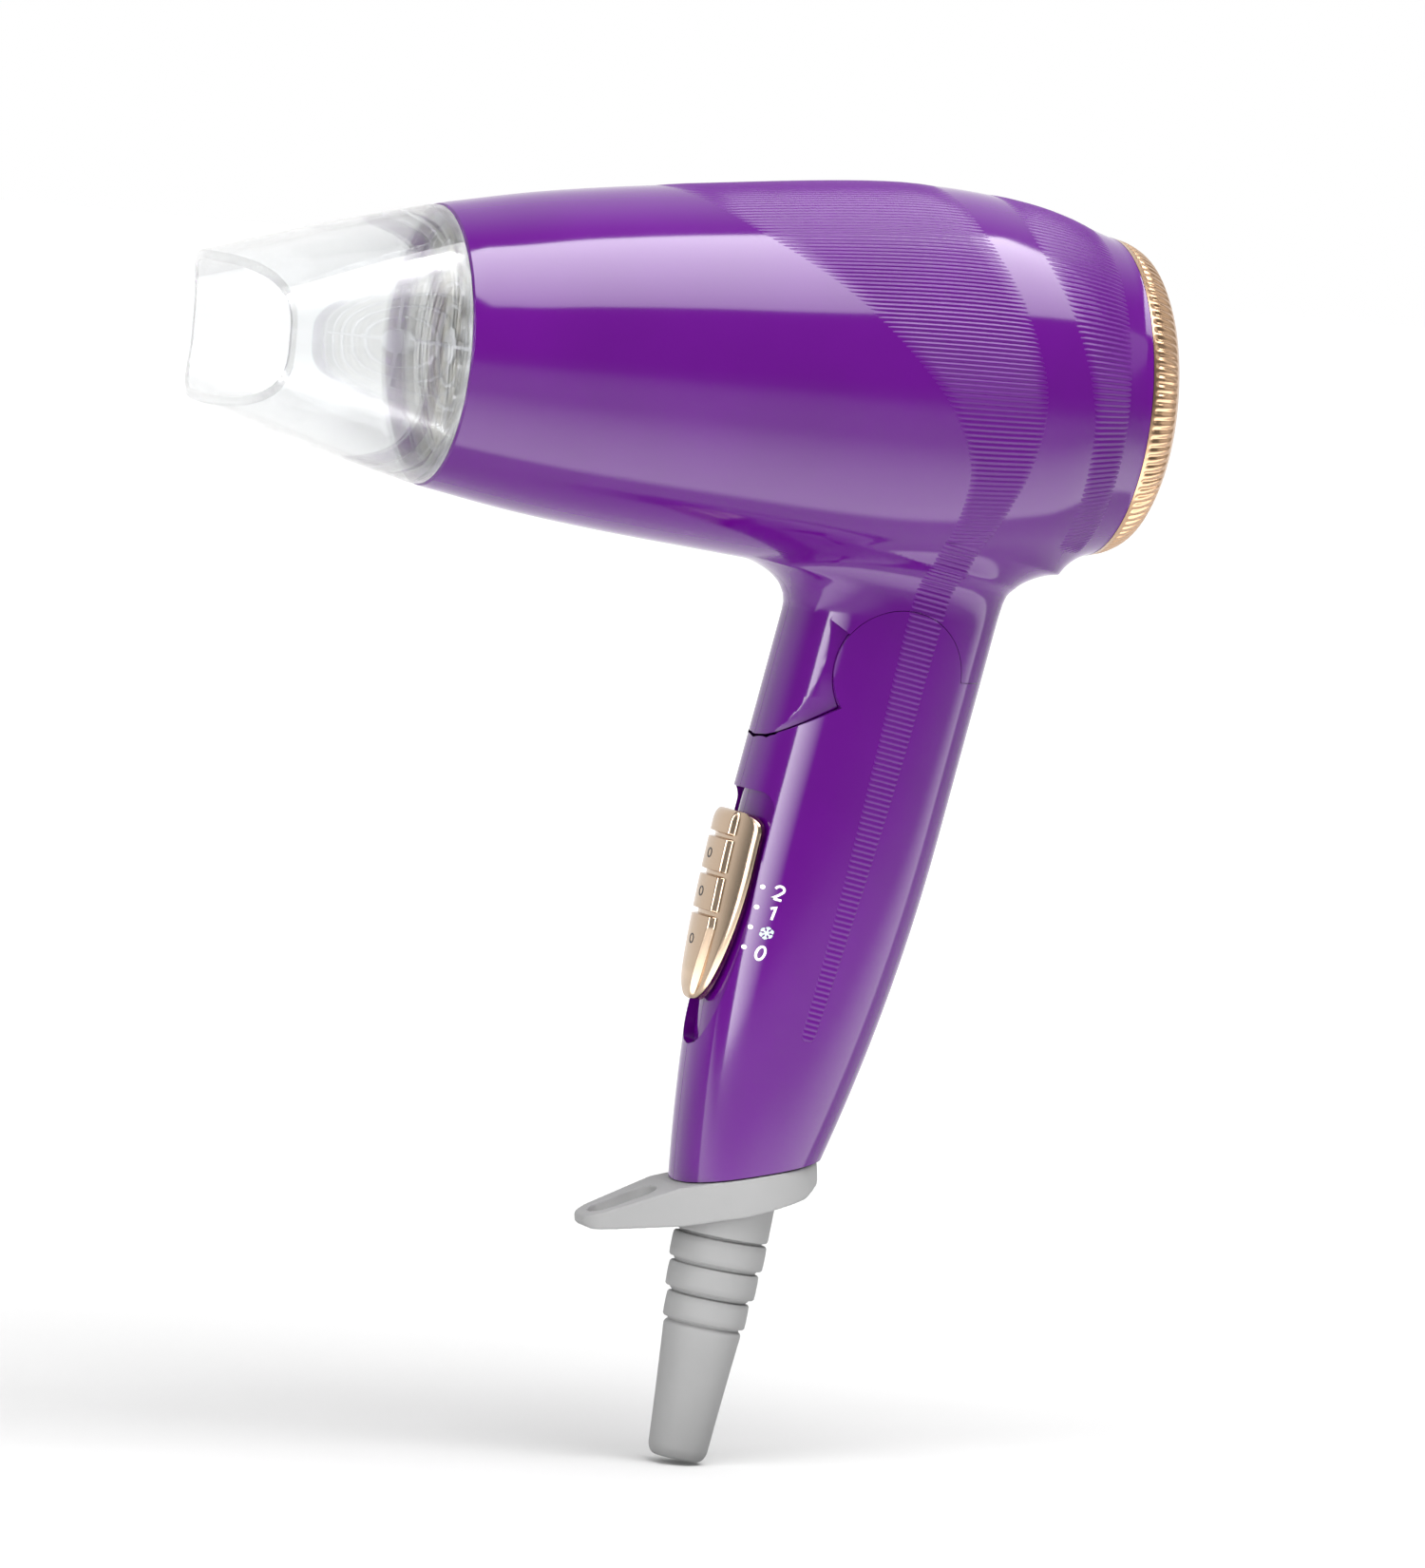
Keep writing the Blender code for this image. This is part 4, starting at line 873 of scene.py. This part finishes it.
def make_inlet_ring():
    ribs, depth = 108, 0.3

    def knurl(turn, radius, z):
        window = min(max((z - 134.7) / 0.5, 0), max((140.1 - z) / 0.5, 0), 1.0)
        if radius < 27 or window <= 0:
            return 0
        return -depth * window * (0.5 - 0.5 * math.cos(ribs * turn)) ** 1.6

    outer = smooth_through([(26.2, 141.0, 0), (28.3, 139.5, 0), (29.8, 136.9, 0), (30.5, 134.1, 0)], 9)
    outer = [(point.x, point.y) for point in outer]
    profile = [(24.8, 140.85), (24.95, 141.0), *outer, (28.0, 134.1), (28.0, 128.5), (26.4, 128.5)]
    profile += [(26.4, 135.0), (24.8, 136.4)]
    ring = solid("inlet_ring", revolve(profile, ribs * 8, knurl), AXIS)
    finished(ring, "copper_satin", "inlet_cap", ["inlet_cap_ring"], angle=50)


def make_grille(name, finish, body, node, radius, z, circles, spokes, deep=2.0, wide=1.3):
    """A round guard with rounded bars."""
    rim = [(radius, z + 1.3), (radius, z - 1.3), (radius - 0.1, z - 1.4), (radius - 1.5, z - 1.4)]
    rim += [(radius - 1.6, z - 1.3), (radius - 1.6, z + 1.3), (radius - 1.5, z + 1.4), (radius - 0.1, z + 1.4)]
    guard = solid(name, revolve(rim, 128), AXIS)
    steps, tools = [], []
    for middle in circles:
        bar = arc((middle, z), 0.5, 0, 360, 12)[:-1]
        bar = [(middle + (r - middle) * wide, z + (h - z) * deep * 0.92) for r, h in bar]
        tools.append(solid("circle", revolve(bar[::-1], 128), AXIS))
    for i in range(spokes):
        place = AXIS @ Matrix.Rotation(2 * math.pi * i / spokes, 4, "Z")
        bar = block((radius - 3.2, wide * 0.85, deep * 0.85), ((radius + 1.8) / 2, 0, z))
        tools.append(solid("spoke", bar, place))
    half = deep / 2
    hub = [(0, z - half), (3.0, z - half), (3.4, z - 0.7 * half)]
    hub += [(3.4, z + 0.7 * half), (3.0, z + half), (0, z + half)]
    tools.append(solid("hub", revolve(hub, 64), AXIS))
    steps = [("UNION", tool) for tool in tools]
    combine(guard, steps)
    finished(guard, finish, body, [node])
    discard(*tools)


def make_heater():
    low, high, pitch = 7.0, 68.0, 1.5
    levels = steps_between(low + 0.2, high - 0.2, pitch / 8)
    inner = [(23.2 + 0.1 * math.cos(2 * math.pi * (z - low) / pitch), z) for z in levels]
    profile = [(24.0, high), (24.0, low), (23.25, low), *inner, (23.25, high)]
    liner = solid("heat_liner", revolve(profile, 160), AXIS)
    finished(liner, "mica", "barrel", ["mica_liner"], angle=60)

    turns, rise, radius, waves = 7, 6.8, 18.8, 26
    curve = bpy.data.curves.new("heater_winding", "CURVE")
    curve.dimensions = "3D"
    curve.bevel_depth, curve.bevel_resolution, curve.use_fill_caps = 0.24 * MM, 3, True
    spline = curve.splines.new("POLY")
    count = turns * waves * 8
    spline.points.add(count)
    for i, target in enumerate(spline.points):
        share = i / count
        turn = 2 * math.pi * turns * share
        r = radius - 0.3 + 0.55 * math.sin(waves * turn)
        z = 14 + rise * turns * share
        target.co = (*(AXIS @ Vector((r * math.cos(turn), r * math.sin(turn), z)) * MM), 1)
    wire = bpy.data.objects.new("winding", curve)
    bpy.context.scene.collection.objects.link(wire)
    bpy.context.view_layer.update()
    mesh = bpy.data.meshes.new_from_object(wire.evaluated_get(bpy.context.evaluated_depsgraph_get()))
    discard(wire)
    winding = bpy.data.objects.new("heater_winding", mesh)
    bpy.context.scene.collection.objects.link(winding)
    finished(winding, "nichrome", "barrel", ["heating_coil"], angle=60)


# ---------------------------------------------------------------- nozzle


def nozzle_ring(t, inset, count, forward=0.0):
    first, wide_end, high_end, length = 26.4, 32.0, 14.0, 43.0
    wide = first + (wide_end - first) * t * t * (3 - 2 * t) - inset
    high = first + (high_end - first) * (0.85 * t + 0.15 * t * t) - inset
    power = 2 + 1.2 * t
    ring = []
    for i in range(count):
        turn = 2 * math.pi * i / count
        c, s = math.cos(turn), math.sin(turn)
        y = math.copysign(wide * abs(c) ** (2 / power), c)
        z = math.copysign(high * abs(s) ** (2 / power), s)
        ring.append((-0.3 - t * (length - 7 * (y / wide_end) ** 2) - forward, y, z))
    return ring


def make_nozzle():
    wall, count = 1.8, 192
    shares = steps_between(0, 1, 0.03)
    rings = [nozzle_ring(t, 0.25 if t == 0 else 0, count) for t in shares[:-1]]
    rings += [nozzle_ring(1 - 0.3 / 43, 0, count), nozzle_ring(1, 0.3, count), nozzle_ring(1, wall - 0.3, count)]
    rings += [nozzle_ring(t, wall, count) for t in [1 - 0.3 / 43, *shares[-2:0:-1]]]
    rings.append(nozzle_ring(0, wall - 0.25, count))
    nozzle = solid("nozzle", loft(rings, closed_path=True), MOUTH)
    finished(nozzle, "clear_plastic", "nozzle", ["concentrator_nozzle"])
    collar = [(24.0, 2.0), (24.0, -1.0), (23.8, -1.2), (23.0, -1.2)]
    collar += [(22.8, -1.0), (22.8, 2.0), (23.0, 2.2), (23.8, 2.2)]
    ring = solid("nozzle_ring", revolve(collar, 160), AXIS)
    finished(ring, "clear_plastic", "nozzle_ring", ["nozzle_collar"])


# ---------------------------------------------------------------- hang loop and cord boot


def soften(obj, voxel, rounds):
    """Remeshes a rubber moulding finely and rounds its edges off."""
    remesh = obj.modifiers.new("remesh", "REMESH")
    remesh.mode, remesh.voxel_size = "VOXEL", voxel * MM
    smooth = obj.modifiers.new("smooth", "SMOOTH")
    smooth.factor, smooth.iterations = 0.5, rounds
    return settle(obj)


def make_base():
    side = [(14.9, -0.3), (13.2, -4.5), (9.2, -6.4), (-4, -7.6), (-15, -7.8)]
    side += [(-32.0, -6.2), (-33.4, -5.0), (-32.8, -3.5), (-15, -0.3)]
    collar = solid("hang_loop", prism(side, 16), COLLAR)
    back = [(14.9 * u, 12.4 * y) for u, y in arc((0, 0), 1.0, -115, 115, 72)]
    plan = solid("plan", prism([*back, *arc((-27.2, 0), 6.4, 105, 255, 32)], 14, "XY"), COLLAR)
    hole = [*arc((-21.4, 0), 4.2, -90, 90, 24), *arc((-27.0, 0), 3.9, 90, 270, 24)]
    hole = solid("hole", prism(hole, 14, "XY"), COLLAR)
    bore = solid("bore", rod(4.2, 30, (0, 0, 4)), BOOT)
    combine(collar, [("INTERSECT", plan), ("DIFFERENCE", hole), ("DIFFERENCE", bore)])
    soften(collar, 0.3, 5)
    finished(collar, "grey_rubber", "handle", ["hang_loop_collar"], angle=80)
    discard(plan, hole, bore)

    outline = [(9.0, 9.0), (9.0, -0.9), (8.8, -1.3), (8.0, -1.55), (7.9, -1.85)]
    for radius, z in ((9.0, -4.4), (8.6, -10.1), (7.9, -15.9)):
        edge = [(-0.9, 2.5), (-0.25, 2.4), (0.0, 2.1), (0.06, 1.0)]
        edge += [(dr, -dz) for dr, dz in reversed(edge)]
        outline += [(radius + dr, z + dz) for dr, dz in edge]
        outline.append((radius - 1.1, z - 2.85))
    outline += [(7.3, -19.2), (7.45, -19.6), (7.4, -20.6)]
    sleeve = smooth_through([(7.3, -21.5, 0), (6.45, -32, 0), (5.75, -41.8, 0)], 8)
    outline += [(point.x, point.y) for point in sleeve]
    outline += [(5.75 - 1.6 * (1 - math.cos(a)), -41.8 - 2.8 * math.sin(a)) for a in np.linspace(0.2, math.pi / 2, 8)]
    outline += [(3.6, -44.6), (3.6, 9.0)]
    boot = solid("cord_boot", revolve(outline, 128), BOOT)
    above = [(16, -5.9), (9.2, -6.75), (-4, -7.95), (-16, -8.15), (-16, 12), (16, 12)]
    above = solid("above", prism(above, 20), COLLAR)
    combine(boot, [("DIFFERENCE", above)])
    finished(boot, "grey_rubber", "handle", ["strain_relief"], angle=40)
    discard(above)


# ---------------------------------------------------------------- stage, light and camera


def stage_card(name, centre, toward, size, strength, fade, along="Y"):
    """A card that glows on its side toward a point. Its light falls off along its height or width, to this share."""
    bm = bmesh.new()
    bmesh.ops.create_grid(bm, x_segments=1, y_segments=1, size=0.5)
    mesh = bpy.data.meshes.new(name)
    bm.to_mesh(mesh)
    bm.free()
    card = bpy.data.objects.new(name, mesh)
    bpy.context.scene.collection.objects.link(card)
    card.location = centre
    card.rotation_mode = "QUATERNION"
    card.rotation_quaternion = (Vector(toward) - Vector(centre)).to_track_quat("Z", "Y")
    card.scale = (*size, 1)
    glow = bpy.data.materials.new(name)
    glow.use_nodes = True
    nodes, links = glow.node_tree.nodes, glow.node_tree.links
    nodes.clear()
    out, emission = nodes.new("ShaderNodeOutputMaterial"), nodes.new("ShaderNodeEmission")
    clear, either = nodes.new("ShaderNodeBsdfTransparent"), nodes.new("ShaderNodeMixShader")
    side = nodes.new("ShaderNodeNewGeometry")
    where, split = nodes.new("ShaderNodeTexCoord"), nodes.new("ShaderNodeSeparateXYZ")
    ramp = nodes.new("ShaderNodeMapRange")
    ramp.inputs["From Min"].default_value, ramp.inputs["From Max"].default_value = -0.5, 0.5
    ramp.inputs["To Min"].default_value, ramp.inputs["To Max"].default_value = fade * strength, strength
    links.new(where.outputs["Object"], split.inputs["Vector"])
    links.new(split.outputs[along], ramp.inputs["Value"])
    links.new(ramp.outputs["Result"], emission.inputs["Strength"])
    links.new(side.outputs["Backfacing"], either.inputs["Fac"])
    links.new(emission.outputs["Emission"], either.inputs[1])
    links.new(clear.outputs["BSDF"], either.inputs[2])
    links.new(either.outputs["Shader"], out.inputs["Surface"])
    card.data.materials.append(glow)
    return card


def ramp_along(tree, split, axis, low, high, least, most):
    """A smooth ramp from one value to another along an axis."""
    ramp = tree.nodes.new("ShaderNodeMapRange")
    ramp.interpolation_type = "SMOOTHSTEP"
    ramp.inputs["From Min"].default_value, ramp.inputs["From Max"].default_value = low, high
    ramp.inputs["To Min"].default_value, ramp.inputs["To Max"].default_value = least, most
    tree.links.new(split.outputs[axis], ramp.inputs["Value"])
    return ramp.outputs["Result"]


def math_node(tree, operation, first, second):
    made = tree.nodes.new("ShaderNodeMath")
    made.operation = operation
    tree.links.new(first, made.inputs[0])
    tree.links.new(second, made.inputs[1])
    return made.outputs["Value"]


def light_the_floor(paper):
    """The floor glows a little in front of the dryer, brightest close to it, and melts into the room behind."""
    tree = paper.node_tree
    where, split = tree.nodes.new("ShaderNodeTexCoord"), tree.nodes.new("ShaderNodeSeparateXYZ")
    tree.links.new(where.outputs["Object"], split.inputs["Vector"])
    rise = ramp_along(tree, split, "Y", -0.4, -0.055, 0.0, 2.4)
    stop = ramp_along(tree, split, "Y", -0.055, -0.035, 1.0, 0.0)
    room = ramp_along(tree, split, "Y", -0.1, 1.4, 0.05, 0.8)
    glow = math_node(tree, "ADD", math_node(tree, "MULTIPLY", rise, stop), room)
    shader = tree.nodes["Principled BSDF"]
    shader.inputs["Emission Color"].default_value = (1, 1, 1, 1)
    tree.links.new(glow, shader.inputs["Emission Strength"])


def make_stage():
    low = CAD_BOUNDS[0][2] - 0.0004
    bm = bmesh.new()
    bmesh.ops.create_circle(bm, cap_ends=True, segments=96, radius=9.0)
    mesh = bpy.data.meshes.new("floor")
    bm.to_mesh(mesh)
    bm.free()
    floor = bpy.data.objects.new("floor", mesh)
    bpy.context.scene.collection.objects.link(floor)
    floor.location = (0, 0, low)
    paper = new_finish("paper", (0.46, 0.46, 0.46), 0.85, spread=0.01)
    light_the_floor(paper)
    mesh.materials.append(paper)
    stage_card("card_top", (0.25, -0.42, 1.1), (0, 0, 0.11), (1.4, 0.95), 12.0, 0.4)
    stage_card("card_left", (-0.96, -1.02, 0.3), (0, 0, 0.05), (0.86, 1.3), 12.0, 0.03, "X")
    stage_card("card_right", (1.25, -0.3, 0.25), (0, 0, 0.05), (0.7, 1.2), 1.2, 0.3)
    world = bpy.data.worlds.new("room")
    world.use_nodes = True
    tree = world.node_tree
    where, split = tree.nodes.new("ShaderNodeTexCoord"), tree.nodes.new("ShaderNodeSeparateXYZ")
    tree.links.new(where.outputs["Generated"], split.inputs["Vector"])
    tree.nodes["Background"].inputs["Color"].default_value = (1, 1, 1, 1)
    bright = ramp_along(tree, split, "Y", -0.1, 0.6, 0.22, 1.0)
    tree.links.new(bright, tree.nodes["Background"].inputs["Strength"])
    bpy.context.scene.world = world
    bpy.context.scene.view_settings.view_transform = "Standard"


AZIMUTH, ELEVATION, BARREL_FALL = -20.0, 4.0, 3.75
FRAME_HEIGHT, SCALE = 1650, 0.18  # the frame's height, and millimetres to one of its units at the dryer


def make_camera():
    a, e = math.radians(AZIMUTH), math.radians(ELEVATION)
    roll = math.radians(BARREL_FALL) + math.atan(math.tan(-a) * math.sin(e))
    back = Vector((math.sin(a) * math.cos(e), -math.cos(a) * math.cos(e), math.sin(e)))
    right = Vector((math.cos(a), math.sin(a), 0))
    up = back.cross(right)
    right, up = right * math.cos(roll) + up * math.sin(roll), up * math.cos(roll) - right * math.sin(roll)
    target = Vector((MOUTH_X, 0, BARREL_Z)) + 53.1 * right - 82.2 * up
    target += back * -30.0
    away = 2200.0
    data = bpy.data.cameras.new("camera")
    data.lens = 36.0 * away / (FRAME_HEIGHT * SCALE)
    data.clip_end = 20.0
    camera = bpy.data.objects.new("camera", data)
    bpy.context.scene.collection.objects.link(camera)
    camera.matrix_world = Matrix(
        (
            (right.x, up.x, back.x, (target + back * away).x * MM),
            (right.y, up.y, back.y, (target + back * away).y * MM),
            (right.z, up.z, back.z, (target + back * away).z * MM),
            (0, 0, 0, 1),
        )
    )
    bpy.context.scene.camera = camera


make_camera()
tools = casing_tools()
make_barrel(tools)
make_handle(tools)
make_bands(tools)
discard(*tools.values())
make_slider()
make_slider_rings()
make_marks()
make_inlet_ring()
make_grille("inlet_guard", "black_plastic", "inlet_cap", "inlet_grille", 24.4, 138.2, (9.0, 16.5), 6)
wires = (7.6, 11.8, 16.0, 20.2)
make_grille("mouth_guard", "steel", "barrel", "outlet_guard", 24.2, 4.3, wires, 4, 0.9, 0.8)
make_heater()
make_nozzle()
make_base()
make_stage()
